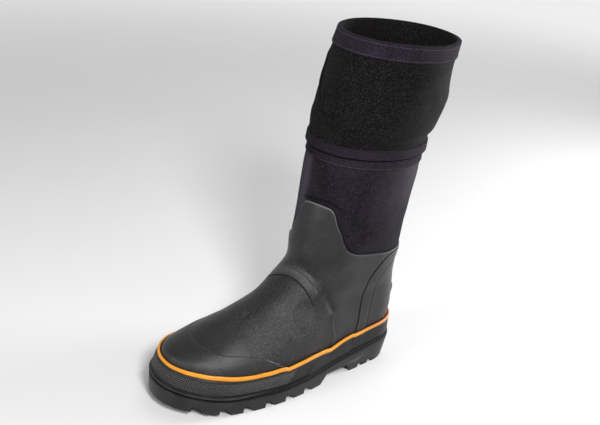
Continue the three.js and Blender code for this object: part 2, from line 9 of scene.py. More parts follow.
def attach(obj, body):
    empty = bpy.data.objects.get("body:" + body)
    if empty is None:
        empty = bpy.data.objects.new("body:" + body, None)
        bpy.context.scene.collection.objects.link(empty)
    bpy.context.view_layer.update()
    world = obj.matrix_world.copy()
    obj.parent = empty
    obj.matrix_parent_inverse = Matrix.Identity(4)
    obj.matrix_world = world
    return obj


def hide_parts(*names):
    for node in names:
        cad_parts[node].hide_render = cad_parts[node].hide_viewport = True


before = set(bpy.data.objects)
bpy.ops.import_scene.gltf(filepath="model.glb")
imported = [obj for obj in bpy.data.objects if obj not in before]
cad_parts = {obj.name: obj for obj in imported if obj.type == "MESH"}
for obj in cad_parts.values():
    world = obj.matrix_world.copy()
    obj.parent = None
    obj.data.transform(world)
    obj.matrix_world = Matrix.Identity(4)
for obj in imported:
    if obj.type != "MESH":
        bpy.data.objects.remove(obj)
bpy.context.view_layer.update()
mm = 0.001  # sizes below are in millimetres
gap = 0.3
print("frame loaded")

# The boot's form. The toe points to -Y and the outer side to +X.
sole = {
    "length": 320, "heelOverhang": 45, "ballWidth": 118, "heelWidth": 88,
    "topAtBall": 22.5, "heelRise": 12.5, "toeSpring": 11, "treadSpring": 9, "treadCurve": 1.6,
    "waistShare": 0.35, "ballShare": 0.62, "toeLedge": 6.5, "sideLedge": 3.5, "heelLedge": 1.8,
    "bead": 2.6, "groove": 3.2, "grooveDepth": 2.4, "treadInset": 1, "heelTaper": 5.5, "visibleTaper": 0.65,
}
band = {"height": 16.5, "wall": 2.6, "flare": 0.8, "rake": 4, "nose": 1.2, "seat": 0.95}
stripe = {"height": 4, "wall": 3.1}
shell = {
    "wall": 2.4, "bendHeight": 137, "bendReach": 112, "counterHeight": 116, "counterReach": 37,
    "ankleWidth": 88, "toeSwing": 8, "swingShare": 0.55, "sagReach": 0.33, "endRound": 2.15,
}
shaft = {"height": 288, "width": 120, "front": 86, "back": 58, "lean": 11, "wall": 5}
leg = {"height": 400, "wall": 3.5, "front": 60, "back": 77, "width": 138, "round": 1.3, "overlap": 14}

toeY = sole["heelOverhang"] - sole["length"]
shellToeY = toeY + sole["toeLedge"] + band["wall"] + band["flare"]
shellHeelY = sole["heelOverhang"] - sole["heelLedge"] - band["wall"] - band["flare"]
shellBall = sole["ballWidth"] / 2 - sole["sideLedge"] - band["wall"] - band["flare"]
shellHeel = sole["heelWidth"] / 2 - sole["heelLedge"] - band["wall"] - band["flare"]
sockOut = -(shell["wall"] + gap)
sockIn = sockOut - shaft["wall"]
legIn = sockOut + gap
legOut = legIn + leg["wall"]


def lerp(a, b, share):
    return a + (b - a) * share


# Eased from 0 to 1, and from 0 at start to 1 further on by over
def smooth(share):
    s = np.clip(share, 0, 1)
    return s * s * (3 - 2 * s)


def eased(value, start, over):
    return smooth((value - start) / over)


# A smooth curve through given values, which runs on straight past its ends
def smoothCurve(xs, ys):
    xs, ys = np.array(xs, float), np.array(ys, float)
    step = np.diff(xs)
    rise = np.diff(ys) / step
    slope = np.concatenate([rise[:1], rise, rise[-1:]])[: len(xs)]
    slope[1:-1] = (rise[1:] * step[:-1] + rise[:-1] * step[1:]) / (step[1:] + step[:-1])
    slope[-1] = rise[-1]

    def value(at):
        at = np.asarray(at, float)
        k = np.clip(np.searchsorted(xs, at, "right") - 1, 0, len(xs) - 2)
        s = (at - xs[k]) / step[k]
        c = np.clip(s, 0, 1)
        inside = (
            (1 + 2 * c) * (1 - c) ** 2 * ys[k]
            + c * (1 - c) ** 2 * step[k] * slope[k]
            + c * c * (3 - 2 * c) * ys[k + 1]
            + c * c * (c - 1) * step[k] * slope[k + 1]
        )
        past = (s - c) * step[k] * np.where(s < 0, slope[k], slope[k + 1])
        return inside + past

    return value


# Rows that share their keys, as a list of dictionaries
def table(keys, *rows):
    return [dict(zip(keys.split(), row)) for row in rows]


def columnOf(rows, key):
    return np.array([row[key] for row in rows])


def columnCurve(rows, key):
    return smoothCurve(columnOf(rows, "at"), columnOf(rows, key))


def lengthAlong(points):
    return np.concatenate([[0], np.cumsum(np.linalg.norm(np.diff(points, axis=0), axis=1))])


def along(y):
    return (sole["heelOverhang"] - y) / sole["length"]


swells = table(
    "at outer inner",
    (0, 0, 0),
    (0.14, 0.04, 0),
    (0.36, 0.38, -0.2),
    (0.5, 0.93, 0.3),
    (0.62, 1.12, 0.75),
    (0.74, 1.05, 0.97),
    (0.84, 0.85, 0.95),
    (1, 0.5, 0.75),
)
soleTops = table(
    "at heel toe",
    (0, 1, 0),
    (0.1, 0.8, 0),
    (0.2, 0.5, 0),
    (0.32, 0.24, 0),
    (0.48, 0.05, 0),
    (0.66, 0, 0),
    (0.82, 0, 0.22),
    (1, 0, 1),
)
bootSections = table(
    "fy fz by bz of fore rear nose seat",
    (0.03, 0.13, 0.1, 0.2, "foot", 0.98, 1.02, 1.75, 0.95),
    (0.11, 0.19, 0.08, 0.36, "foot", 0.95, 1.03, 2.05, 0.97),
    (0.24, 0.26, 0.25, 0.54, "foot", 0.9, 1.03, 2.35, 1),
    (0.43, 0.37, 0.6, 0.74, "foot", 0.84, 1.04, 2.35, 1.05),
    (0.66, 0.54, 0.9, 0.92, "foot", 0.8, 1.05, 2.1, 1.15),
    (0.86, 0.76, 1, 1.03, "ankle", 0.96, 0.98, 1.8, 1.25),
    (1, 0.97, 0.98, 1.1, "ankle", 1, 1, 1.5, 1.3),
    (1.25, 1.17, 1.1, 1.21, "ankle", 1.07, 1.07, 1.3, 1.35),
    (1.5, 1.38, 1.3, 1.355, "shaft", 0.91, 0.91, 1.3, 1.35),
    (1.8, 1.6, 1.5, 1.57, "shaft", 0.96, 0.96, 1.3, 1.3),
    (1.87, 1.78, 1.8, 1.78, "shaft", 0.99, 0.99, 1.3, 1.3),
    (2, 2, 2, 2, "shaft", 0.96, 0.96, 1.3, 1.3),
)
legSections = table(
    "up front back wide",
    (0, 0, 0, 0),
    (0.08, 0.03, 0.35, 0.25),
    (0.2, 0.08, 0.7, 0.5),
    (0.38, 0.25, 0.85, 0.65),
    (0.6, 0.5, 0.88, 0.75),
    (0.82, 0.75, 0.9, 0.9),
    (1, 1, 1, 1),
)
swellOf = {1: columnCurve(swells, "outer"), -1: columnCurve(swells, "inner")}
heelTopOf, toeTopOf = columnCurve(soleTops, "heel"), columnCurve(soleTops, "toe")


def soleTop(y):
    rise = sole["heelRise"] * heelTopOf(along(y)) + sole["toeSpring"] * toeTopOf(along(y))
    return sole["topAtBall"] + rise


def pastBall(y):
    return smooth((along(y) - sole["ballShare"]) / (1 - sole["ballShare"]))


def soleSag(y):
    return soleTop(y) - lerp(soleTop(sole["heelOverhang"]), soleTop(toeY), along(y))


def footCentre(y):
    return -shell["toeSwing"] * smooth((along(y) - shell["swingShare"]) / (1 - shell["swingShare"]))


def through(a, b, c, share):
    return lerp(a, b, share) if share < 1 else lerp(b, c, share - 1)


def bootRows():
    halves = {
        "foot": (shellBall, shellHeel),
        "ankle": (shell["ankleWidth"] / 2,) * 2,
        "shaft": (shaft["width"] / 2,) * 2,
    }
    feather = {
        "frontY": shellToeY, "frontZ": soleTop(shellToeY) + gap,
        "backY": shellHeelY, "backZ": soleTop(shellHeelY) + gap,
        "fore": shellBall, "rear": shellHeel, "nose": shellBall * band["nose"],
        "seat": shellHeel * band["seat"], "sag": 1, "lean": 0,
    }
    bandTop = dict(
        feather, frontY=shellToeY + band["rake"], frontZ=feather["frontZ"] + band["height"],
        backZ=feather["backZ"] + band["height"], sag=0.9,
    )
    heelTop = soleTop(sole["heelOverhang"])
    rows = [feather, bandTop]
    for row in bootSections:
        fore, rear = halves[row["of"]]
        rows.append({
            "frontY": through(shellToeY + band["rake"], -shell["bendReach"], -shaft["front"], row["fy"]),
            "frontZ": through(soleTop(toeY) + band["height"], shell["bendHeight"], shaft["height"], row["fz"]),
            "backY": through(shellHeelY, shell["counterReach"], shaft["back"], row["by"]),
            "backZ": through(heelTop + band["height"], shell["counterHeight"], shaft["height"], row["bz"]),
            "fore": fore * row["fore"], "rear": rear * row["rear"],
            "nose": fore * row["nose"], "seat": rear * row["seat"],
            "sag": smooth(1 - row["fz"] / shell["sagReach"]),
            "lean": shaft["lean"] * smooth(row["fz"] - 1),
        })
    return rows


def legRows():
    rows = []
    for row in legSections:
        shaftHalf = shaft["width"] / 2 * bootSections[-1]["fore"]
        half = lerp(shaftHalf + legOut, leg["width"] / 2, row["wide"])
        z = lerp(shaft["height"], leg["height"], row["up"])
        rows.append({
            "frontY": lerp(-shaft["front"] - legOut, -leg["front"], row["front"]), "frontZ": z,
            "backY": lerp(shaft["back"] + legOut, leg["back"], row["back"]), "backZ": z,
            "fore": half, "rear": half, "nose": half * leg["round"], "seat": half * leg["round"],
            "sag": 0, "lean": shaft["lean"],
        })
    return rows


# A form is a fine net of points and normals over (level, place). A level is a section's mean height
# above the lowest one. The place runs from 0, at the back, over 0.5, at the front, back to 1, with
# the outer side first.
def makeForm(rows, floorAt=None, around=720, samples=160):
    base = (rows[0]["frontZ"] + rows[0]["backZ"]) / 2
    levels = [(row["frontZ"] + row["backZ"]) / 2 - base for row in rows]
    curves = {key: smoothCurve(levels, [row[key] for row in rows]) for key in rows[0]}
    share = (1 - np.cos(np.linspace(0, np.pi, samples + 1))) / 2

    def roundEnd(distance, length):
        left = np.clip(1 - distance / length, 0, 1)
        return (1 - left ** shell["endRound"]) ** (1 / shell["endRound"])

    def halfRing(level, side):
        now = {key: float(curve(level)) for key, curve in curves.items()}
        y = lerp(now["backY"], now["frontY"], share)
        length = now["backY"] - now["frontY"]
        half = lerp(now["rear"], now["fore"], swellOf[side](along(y)))
        ends = roundEnd((1 - share) * length, now["nose"]) * roundEnd(share * length, now["seat"])
        x = footCentre(y) - now["lean"] + side * half * ends
        z = lerp(now["backZ"], now["frontZ"], share) + now["sag"] * soleSag(y)
        points = np.stack([x, y, z], 1)[::side]
        run = lengthAlong(points)
        at = run[-1] * np.arange(around // 2) / (around // 2)
        return np.stack([np.interp(at, run, points[:, k]) for k in range(3)], 1)

    def ring(level):
        return np.concatenate([halfRing(level, 1), halfRing(level, -1)])

    top = levels[-1]
    at = np.linspace(0, top, int(top) + 1)
    points = np.array([ring(level) for level in at])
    rise = np.array([ring(level + 0.5) - ring(level - 0.5) for level in at])
    turn = np.roll(points, -1, 1) - np.roll(points, 1, 1)
    normals = np.cross(rise, turn)
    normals[0, :, 2] = 0
    normals /= np.linalg.norm(normals, axis=2, keepdims=True)
    if floorAt:
        points[0, :, 2] = floorAt(points[0, :, 1])
    return {"points": points, "normals": normals, "top": top}


def onNet(form, net, level, place):
    rows, count = form[net].shape[:2]
    i = np.clip(np.asarray(level, float) / form["top"] * (rows - 1), 0, rows - 1)
    j = np.mod(np.asarray(place, float), 1) * count
    i0 = np.minimum(i.astype(int), rows - 2)
    j0 = np.minimum(j.astype(int), count - 1)
    a, b = (i - i0)[..., None], (j - j0)[..., None]
    j1 = (j0 + 1) % count
    low = form[net][i0, j0] * (1 - b) + form[net][i0, j1] * b
    high = form[net][i0 + 1, j0] * (1 - b) + form[net][i0 + 1, j1] * b
    return low * (1 - a) + high * a


def onForm(form, level, place, outward=0):
    normal = onNet(form, "normals", level, place)
    normal /= np.linalg.norm(normal, axis=-1, keepdims=True)
    return onNet(form, "points", level, place) + normal * np.asarray(outward, float)[..., None]


boot = makeForm(bootRows(), lambda y: soleTop(y) + gap)
cuff = makeForm(legRows(), around=480)
print("forms made")


# A line on the boot through (place, level) points, and its mirror image past the middle place
def lineOver(points, middle, samples=240):
    nodes = list(points) + [(2 * middle - place, level) for place, level in points[::-1] if place != middle]
    place, level = np.array(nodes, float).T
    spots = onForm(boot, level, place)
    run = lengthAlong(spots)
    at = np.linspace(0, run[-1], samples)
    return np.stack([smoothCurve(run, level)(at), smoothCurve(run, place)(at)], 1)


# Distance in the side view to a broken line, and how far along it the nearest point lies.
def awayFrom(y, z, line):
    best, where = np.full(np.shape(y), 1e9), np.zeros(np.shape(y))
    for k, ((ay, az), (by, bz)) in enumerate(zip(line, line[1:])):
        dy, dz = by - ay, bz - az
        t = np.clip(((y - ay) * dy + (z - az) * dz) / (dy * dy + dz * dz), 0, 1)
        distance = np.hypot(y - ay - t * dy, z - az - t * dz)
        nearer = distance < best
        best = np.where(nearer, distance, best)
        where = np.where(nearer, (k + t) / (len(line) - 1), where)
    return best, where


# Soft troughs and ridges, given one by one: height is out of the surface, in millimetres. A line is drawn in
# the side view (y, z), or in the front view (x, z) where front is set.
def folds(y, z, place, rows, x=None):
    out = np.zeros(np.shape(y))
    side = np.where(np.mod(place, 1) < 0.5, 1, -1)
    for fold in rows:
        distance, where = awayFrom(x if fold.get("front") else y, z, fold["line"])
        ends = smooth(where / 0.25) * smooth((1 - where) / 0.25)
        here = 1 if fold["side"] == 0 else (side == fold["side"])
        here = here * (np.abs(np.mod(place, 1) - 0.5) < 0.2) if fold.get("front") else here
        out = out + fold["height"] * np.exp(-((distance / fold["width"]) ** 2)) * ends * here
    return out


# Meshes
# A grid whose vertices go where place(share across, row) puts them. A ring's last row lies on its first.
def gridPiece(name, columns, rows, place, ring=True, uvSize=(1, 1)):
    bm = bmesh.new()
    bmesh.ops.create_grid(bm, x_segments=columns, y_segments=rows, size=1)
    across = np.array([v.co.x for v in bm.verts]) / 2 + 0.5
    up = np.rint((np.array([v.co.y for v in bm.verts]) / 2 + 0.5) * rows).astype(int)
    points, marks = place(across, np.mod(up, rows) if ring else up)
    layers = {key: (bm.verts.layers.float.new(key), values) for key, values in marks.items()}
    uv = bm.loops.layers.uv.new("cloth")
    for v, point, s, k in zip(bm.verts, points * mm, across, up):
        v.co = point
        for layer, values in layers.values():
            v[layer] = values[v.index]
        for loop in v.link_loops:
            loop[uv].uv = (s * uvSize[0], k / rows * uvSize[1])
    bmesh.ops.remove_doubles(bm, verts=bm.verts, dist=0.004 * mm)
    openEdges = [e for e in bm.edges if e.is_boundary]
    if openEdges:
        bmesh.ops.holes_fill(bm, edges=openEdges, sides=0)
    bmesh.ops.recalc_face_normals(bm, faces=bm.faces)
    return finishMesh(name, bm)


def finishMesh(name, bm, flat=False):
    mesh = bpy.data.meshes.new(name)
    bm.to_mesh(mesh)
    bm.free()
    for polygon in mesh.polygons:
        polygon.use_smooth = not flat
    piece = bpy.data.objects.new(name, mesh)
    bpy.context.scene.collection.objects.link(piece)
    return piece


def wear(piece, material, slot, *nodes):
    piece.data.materials.append(material)
    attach(piece, "root")
    if nodes:
        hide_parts(*nodes)
    return piece


# Materials
def addNode(tree, kind, values=None, **settings):
    node = tree.nodes.new(kind)
    for key, value in settings.items():
        setattr(node, key, value)
    for key, value in (values or {}).items():
        if isinstance(value, bpy.types.NodeSocket):
            tree.links.new(value, node.inputs[key])
        else:
            node.inputs[key].default_value = value
    return node


def maths(tree, operation, a, b=0.5, c=0.0, clamp=False):
    return addNode(tree, "ShaderNodeMath", {0: a, 1: b, 2: c}, operation=operation, use_clamp=clamp).outputs[0]


def ramp(tree, value, low, high):
    return addNode(
        tree, "ShaderNodeMapRange", {"Value": value, "From Min": low, "From Max": high},
        interpolation_type="SMOOTHSTEP",
    ).outputs[0]


def mixColour(tree, share, a, b):
    node = addNode(tree, "ShaderNodeMix", {"Factor": share}, data_type="RGBA")
    for socket, value in ((node.inputs[6], a), (node.inputs[7], b)):
        if isinstance(value, bpy.types.NodeSocket):
            tree.links.new(value, socket)
        else:
            socket.default_value = (*value, 1)
    return node.outputs[2]


def noise(tree, where, scale, detail, roughness=0.5, distortion=0.0):
    values = {"Vector": where, "Scale": scale, "Detail": detail}
    values |= {"Roughness": roughness, "Distortion": distortion}
    return addNode(tree, "ShaderNodeTexNoise", values).outputs[0]


def newGroup(name, inputs, outputs):
    group = bpy.data.node_groups.new(name, "ShaderNodeTree")
    for key, value in inputs.items():
        socket = group.interface.new_socket(key, in_out="INPUT", socket_type="NodeSocketFloat")
        socket.default_value = value
    for key in outputs:
        group.interface.new_socket(key, in_out="OUTPUT", socket_type="NodeSocketFloat")
    return group, group.nodes.new("NodeGroupInput"), group.nodes.new("NodeGroupOutput")


def useGroup(tree, group, **values):
    node = tree.nodes.new("ShaderNodeGroup")
    node.node_tree = group
    for key, value in values.items():
        if isinstance(value, bpy.types.NodeSocket):
            tree.links.new(value, node.inputs[key])
        else:
            node.inputs[key].default_value = value
    return node.outputs


# Pebbled grain of moulded rubber: height, pinpoint specks and a slow mottle over it
def makeGrain():
    group, given, out = newGroup("rubberGrain", {"scale": 900, "mottle": 30}, ["height", "specks", "mottle"])
    where = addNode(group, "ShaderNodeTexCoord").outputs["Object"]
    cells = addNode(
        group, "ShaderNodeTexVoronoi", {"Vector": where, "Scale": given.outputs["scale"], "Randomness": 1.0}
    ).outputs["Distance"]
    dust = noise(group, where, given.outputs["scale"], 2, 0.7)
    slow = noise(group, where, given.outputs["mottle"], 4)
    group.links.new(maths(group, "MULTIPLY_ADD", cells, 0.5, dust), out.inputs["height"])
    group.links.new(ramp(group, dust, 0.54, 0.7), out.inputs["specks"])
    group.links.new(ramp(group, slow, 0.3, 0.7), out.inputs["mottle"])
    return group


# Fine nap of knitted cloth: bright hair tips, a height and a slow mottle
def makeNap():
    group, given, out = newGroup("clothNap", {"scale": 1500, "mottle": 25}, ["tips", "height", "mottle"])
    where = addNode(group, "ShaderNodeTexCoord").outputs["Object"]
    fine = noise(group, where, given.outputs["scale"], 2, 0.7)
    slow = noise(group, where, given.outputs["mottle"], 3)
    group.links.new(ramp(group, fine, 0.5, 0.68), out.inputs["tips"])
    group.links.new(fine, out.inputs["height"])
    group.links.new(ramp(group, slow, 0.3, 0.7), out.inputs["mottle"])
    return group


# Scuffs: faint pale strokes in patches
def makeScuffs():
    group, given, out = newGroup("scuffs", {"scale": 60, "amount": 0.5}, ["mask"])
    where = addNode(group, "ShaderNodeTexCoord").outputs["Object"]
    turned = {"Vector": where, "Scale": (1, 0.25, 1), "Rotation": (0.5, 0, 0.4)}
    long = addNode(group, "ShaderNodeMapping", turned)
    stroke = noise(group, long.outputs[0], given.outputs["scale"], 8, 0.75, 0.6)
    patch = noise(group, where, 14, 2)
    strokes = maths(group, "MULTIPLY", ramp(group, stroke, 0.6, 0.74), ramp(group, patch, 0.45, 0.65))
    group.links.new(maths(group, "MULTIPLY", strokes, given.outputs["amount"]), out.inputs["mask"])
    return group


grainGroup, napGroup, scuffGroup = makeGrain(), makeNap(), makeScuffs()


def newMaterial(name, **constants):
    material = bpy.data.materials.new(name)
    material.use_nodes = True
    tree = material.node_tree
    shader = tree.nodes["Principled BSDF"]
    for key, value in constants.items():
        shader.inputs[key.replace("_", " ")].default_value = value
    return material, tree, shader


def attribute(tree, name):
    return addNode(tree, "ShaderNodeAttribute", attribute_name=name).outputs["Fac"]


def clothUv(tree):
    uv = addNode(tree, "ShaderNodeUVMap", uv_map="cloth").outputs[0]
    return addNode(tree, "ShaderNodeSeparateXYZ", {0: uv}).outputs


def bump(tree, shader, height, distance, before=None):
    values = {"Height": height, "Distance": distance * mm, "Strength": 1}
    if before:
        values["Normal"] = before
    out = addNode(tree, "ShaderNodeBump", values).outputs[0]
    tree.links.new(out, shader.inputs["Normal"])
    return out


# The colour and roughness of a rubber, with the mark called dent, 1 in a groove, laid over both: the dark groove
# colour it paints is painted shade
def finishRubber(tree, shader, colour, groove, rough):
    dent = attribute(tree, "dent")
    tree.links.new(mixColour(tree, dent, colour, groove), shader.inputs["Base Color"])
    tree.links.new(maths(tree, "MULTIPLY_ADD", dent, 0.5, rough, clamp=True), shader.inputs["Roughness"])


# The groove colour is painted shade in grooves and creases, the painted shade colour darkens where shade is painted,
# and the dust colour paints dust specks, scuffs, worn edges and, through the mark called rim, painted highlights
rubberLook = {
    "dark": (0.0088, 0.0083, 0.0086), "light": (0.0138, 0.0131, 0.0134), "dust": (0.12, 0.116, 0.116),
    "vamp": (0.004, 0.0037, 0.0038), "paintedShade": (0.0016, 0.0014, 0.0015), "groove": (0.0007, 0.0007, 0.0007),
    "roughness": (0.38, 0.44), "grain": 1220, "grainDepth": 0.34, "scuff": 0.3, "specks": (0.5, 0.12),
}


# Rubber of the foot shell. The mark called rim is 1 on a worn edge and also paints pale painted highlights, vamp is
# 1 where the grain is deep, and the painted shade mark is 1 where shade is painted dark into the rubber.
def makeRubber(look):
    material, tree, shader = newMaterial("shell_rubber", Specular_IOR_Level=0.23)
    grain = useGroup(tree, grainGroup, scale=look["grain"])
    scuffs = useGroup(tree, scuffGroup, amount=look["scuff"])["mask"]
    vamp, paintedShade = attribute(tree, "vamp"), attribute(tree, "paintedShade")
    colour = mixColour(tree, grain["mottle"], look["dark"], look["light"])
    colour = mixColour(tree, vamp, colour, look["vamp"])
    # Painted shade: darkens the rubber where the painted shade mark is set
    colour = mixColour(tree, paintedShade, colour, look["paintedShade"])
    speckShare = maths(tree, "MULTIPLY_ADD", maths(tree, "MAXIMUM", vamp, paintedShade), *look["specks"])
    speck = maths(tree, "MULTIPLY", grain["specks"], speckShare)
    colour = mixColour(tree, speck, colour, look["dust"])
    colour = mixColour(tree, scuffs, colour, look["dust"])
    # The rim mark paints worn edges and painted highlights in the dust colour
    colour = mixColour(tree, maths(tree, "MULTIPLY", attribute(tree, "rim"), 0.75), colour, look["dust"])
    low, high = look["roughness"]
    rough = maths(tree, "MULTIPLY_ADD", grain["mottle"], high - low, low)
    rough = maths(tree, "MULTIPLY_ADD", scuffs, 0.25, rough)
    rough = maths(tree, "MULTIPLY_ADD", paintedShade, -0.05, rough)
    finishRubber(tree, shader, colour, look["groove"], rough)
    height = maths(tree, "MULTIPLY", grain["height"], maths(tree, "MULTIPLY_ADD", vamp, 0.7, 0.3))
    bump(tree, shader, height, look["grainDepth"])
    return material


# The groove colour of each moulded rubber is painted shade in its grooves
mouldedLooks = {
    "band_rubber": {
        "specular": 0.22, "grain": 800, "mottle": 30, "scuffScale": 60, "scuff": 0.4, "roughness": (0.12, 0.45),
        "dark": (0.0042, 0.004, 0.004), "light": (0.0085, 0.008, 0.0079), "worn": (0.09, 0.088, 0.083),
        "groove": (0.002, 0.002, 0.002), "diamond": (0.105, 0.102, 0.099),
    },
    "sole_rubber": {
        "specular": 0.26, "grain": 700, "mottle": 45, "scuffScale": 40, "scuff": 0.6, "roughness": (0.15, 0.42),
        "dark": (0.0056, 0.0053, 0.0053), "light": (0.0126, 0.012, 0.0117), "worn": (0.11, 0.106, 0.103),
        "groove": (0.0015, 0.0015, 0.0015),
    },
}
diamond = {"slant": 0.75, "pitch": 3, "paint": 0.7, "depth": 0.7}


# Two sets of slanted waves that cross, where the mark called knurl is 1
def crossedWaves(tree):
    across, up = clothUv(tree)[:2]
    waves = []
    for sign in (1, -1):
        slanted = maths(tree, "MULTIPLY_ADD", up, sign * diamond["slant"], across)
        wave = maths(tree, "SINE", maths(tree, "MULTIPLY", slanted, math.pi / diamond["pitch"]))
        waves.append(maths(tree, "ABSOLUTE", wave))
    return maths(tree, "MULTIPLY", maths(tree, "MULTIPLY", *waves), attribute(tree, "knurl"))


def makeMoulded(name, look):
    material, tree, shader = newMaterial(name, Specular_IOR_Level=look["specular"])
    grain = useGroup(tree, grainGroup, scale=look["grain"], mottle=look["mottle"])
    scuffs = useGroup(tree, scuffGroup, amount=look["scuff"], scale=look["scuffScale"])["mask"]
    colour = mixColour(tree, grain["mottle"], look["dark"], look["light"])
    first = bump(tree, shader, grain["height"], 0.12)
    if "diamond" in look:
        waves = crossedWaves(tree)
        paint = maths(tree, "MULTIPLY", ramp(tree, waves, 0.4, 0.95), diamond["paint"])
        colour = mixColour(tree, paint, colour, look["diamond"])
        bump(tree, shader, waves, diamond["depth"], before=first)
    colour = mixColour(tree, scuffs, colour, look["worn"])
    rough = maths(tree, "MULTIPLY_ADD", grain["mottle"], *look["roughness"])
    finishRubber(tree, shader, colour, look["groove"], rough)
    return material


def makeStripeRubber():
    material, tree, shader = newMaterial("piping_rubber", Specular_IOR_Level=0.3)
    grain = useGroup(tree, grainGroup, scale=500, mottle=60)
    scuffs = useGroup(tree, scuffGroup, amount=0.5, scale=120)["mask"]
    worn = attribute(tree, "dull")
    fresh = mixColour(tree, grain["mottle"], (0.42, 0.152, 0.006), (0.48, 0.19, 0.011))
    colour = mixColour(tree, worn, fresh, (0.33, 0.116, 0.047))
    colour = mixColour(tree, scuffs, colour, (0.3, 0.13, 0.045))
    colour = mixColour(tree, attribute(tree, "edge"), colour, (0.03, 0.012, 0.004))
    tree.links.new(colour, shader.inputs["Base Color"])
    tree.links.new(maths(tree, "MULTIPLY_ADD", grain["mottle"], 0.15, 0.38), shader.inputs["Roughness"])
    bump(tree, shader, grain["height"], 0.06)
    return material


# The mark called tone is painted light and shade: below 0 it paints the cloth darker as painted shade, and above 0
# paler as painted light
def makeCloth(name, dark, light, tip, tipShare, depth, scale, rib):
    material, tree, shader = newMaterial(name, Sheen_Weight=0.012, Sheen_Roughness=0.5, Specular_IOR_Level=0.04)
    nap = useGroup(tree, napGroup, scale=scale)
    colour = mixColour(tree, nap["mottle"], dark, light)
    tone = attribute(tree, "tone")
    colour = mixColour(tree, maths(tree, "MULTIPLY", tone, 0.5, clamp=True), colour, tip)
    colour = mixColour(tree, maths(tree, "MULTIPLY", tone, -1, clamp=True), colour, (0.002, 0.002, 0.003))
    colour = mixColour(tree, maths(tree, "MULTIPLY", nap["tips"], tipShare), colour, tip)
    # dent paints the crease over the tab near black, as painted shade
    colour = mixColour(tree, attribute(tree, "dent"), colour, (0.001, 0.001, 0.001))
    height = nap["height"]
    if rib:
        turns = 2 * math.pi / rib
        waves = [maths(tree, "SINE", maths(tree, "MULTIPLY", way, turns)) for way in clothUv(tree)[:2]]
        height = maths(tree, "MULTIPLY_ADD", maths(tree, "MULTIPLY", *waves), 0.35, height)
    tree.links.new(colour, shader.inputs["Base Color"])
    tree.links.new(maths(tree, "MULTIPLY_ADD", nap["tips"], 0.1, 0.82), shader.inputs["Roughness"])
    bump(tree, shader, height, depth)
    return material


rubber = makeRubber(rubberLook)
bandRubber, soleRubber = (makeMoulded(name, look) for name, look in mouldedLooks.items())
stripeRubber = makeStripeRubber()
clothLooks = table(
    "name tipShare depth scale rib dark light tip",
    ("neoprene", 0.22, 0.3, 850, 1.3, (0.0034, 0.0028, 0.0044), (0.008, 0.0067, 0.01), (0.1, 0.093, 0.112)),
    ("leg_neoprene", 0.2, 0.4, 1050, 0, (0.0005, 0.0004, 0.0005), (0.0014, 0.0011, 0.0014), (0.1, 0.094, 0.098)),
    ("seam_tape", 0.26, 0.3, 850, 1.1, (0.0042, 0.0032, 0.0056), (0.0084, 0.0066, 0.0105), (0.07, 0.062, 0.078)),
    ("lining", 0.4, 0.3, 850, 1.4, (0.035, 0.035, 0.039), (0.053, 0.053, 0.056), (0.12, 0.12, 0.128)),
    ("thread", 0.3, 0.3, 850, 0, (0.035, 0.032, 0.039), (0.063, 0.06, 0.07), (0.15, 0.142, 0.157)),
)
sockCloth, legCloth, tapeCloth, liningCloth, threadCloth = (makeCloth(**look) for look in clothLooks)
print("materials made")


# Pieces
# The rubber's top edge: (place, level) from the back round the outer side, the tab and the inner side
collar = [
    (0, 126.5), (0.06, 126), (0.145, 124.9), (0.175, 123.8), (0.211, 124.1), (0.26, 125.1), (0.308, 126.9),
    (0.33, 129.2), (0.349, 133.7), (0.361, 139.4), (0.374, 147.5), (0.392, 157), (0.401, 163.6), (0.4085, 169),
    (0.419, 172.6), (0.436, 173.9), (0.46, 174), (0.485, 173.2), (0.503, 171.8), (0.513, 169.5), (0.5205, 163.5),
    (0.532, 150), (0.541, 142), (0.553, 133.5), (0.57, 128.3), (0.595, 125.8), (0.65, 124.6), (0.72, 124),
    (0.8, 124), (0.86, 124.9), (0.94, 126), (1, 126.5),
]
collarCurve = smoothCurve(*zip(*collar))


def collarLevel(place):
    return collarCurve(np.mod(place, 1))


# Columns that crowd where the collar is steep, as places by share
def collarColumns():
    place = np.linspace(0, 1, 2001)
    run = np.hypot(np.diff(place) * 360, np.diff(collarLevel(place)) * 0.7)
    run = np.concatenate([[0], np.cumsum(run)])
    return lambda share: np.interp(share, run / run[-1], place)


quarterLine = [
    (-106, 140), (-102, 137), (-98, 131), (-95.5, 125.5), (-92.3, 119), (-87.7, 111.4), (-81.8, 100.8),
    (-77.6, 89.8), (-73.9, 78.4), (-71.6, 69.2), (-67.1, 57.9), (-65.1, 44),
]
upperFolds = table(
    "line width height side",
    (quarterLine[7:], 0.9, 0.7, 0),
    ([(-90, 121), (-84, 110), (-77, 98), (-72, 86)], 4.5, -1.5, 0),
    ([(-100, 168), (-78, 160), (-62, 140)], 9, 0.8, 0),
    ([(-190, 74), (-160, 70), (-130, 78)], 14, -1.1, 1),
    ([(-190, 74), (-160, 70), (-130, 78)], 14, -0.8, -1),
    ([(-130, 108), (-118, 95), (-112, 78)], 9, 0.8, 0),
    ([(-60, 120), (-45, 95), (-50, 70)], 18, -0.5, 0),
    ([(10, 60), (12, 90), (8, 120)], 14, 0.4, 0),
    ([(-215, 78), (-190, 92), (-165, 104)], 8, 0.7, 0),
)


shadeLine = [(-110, 144), (-103, 134), (-95, 125), (-88, 113), (-80, 96), (-74, 80), (-80, 62), (-96, 52)]


vampZone = {"z": (50, 70, 95, 125), "soft": (3, 8, 26, 14), "toe": (-222, 60), "top": (-150, 18)}
shadeZone = {
    "trough": 11, "y": (-200, -160, -110, -75), "top": (44, 58, 84, 92), "soft": 24, "toe": (-215, 50),
    "rear": (66, 10), "high": 0.35, "highFrom": (132, 40), "most": 0.95,
}


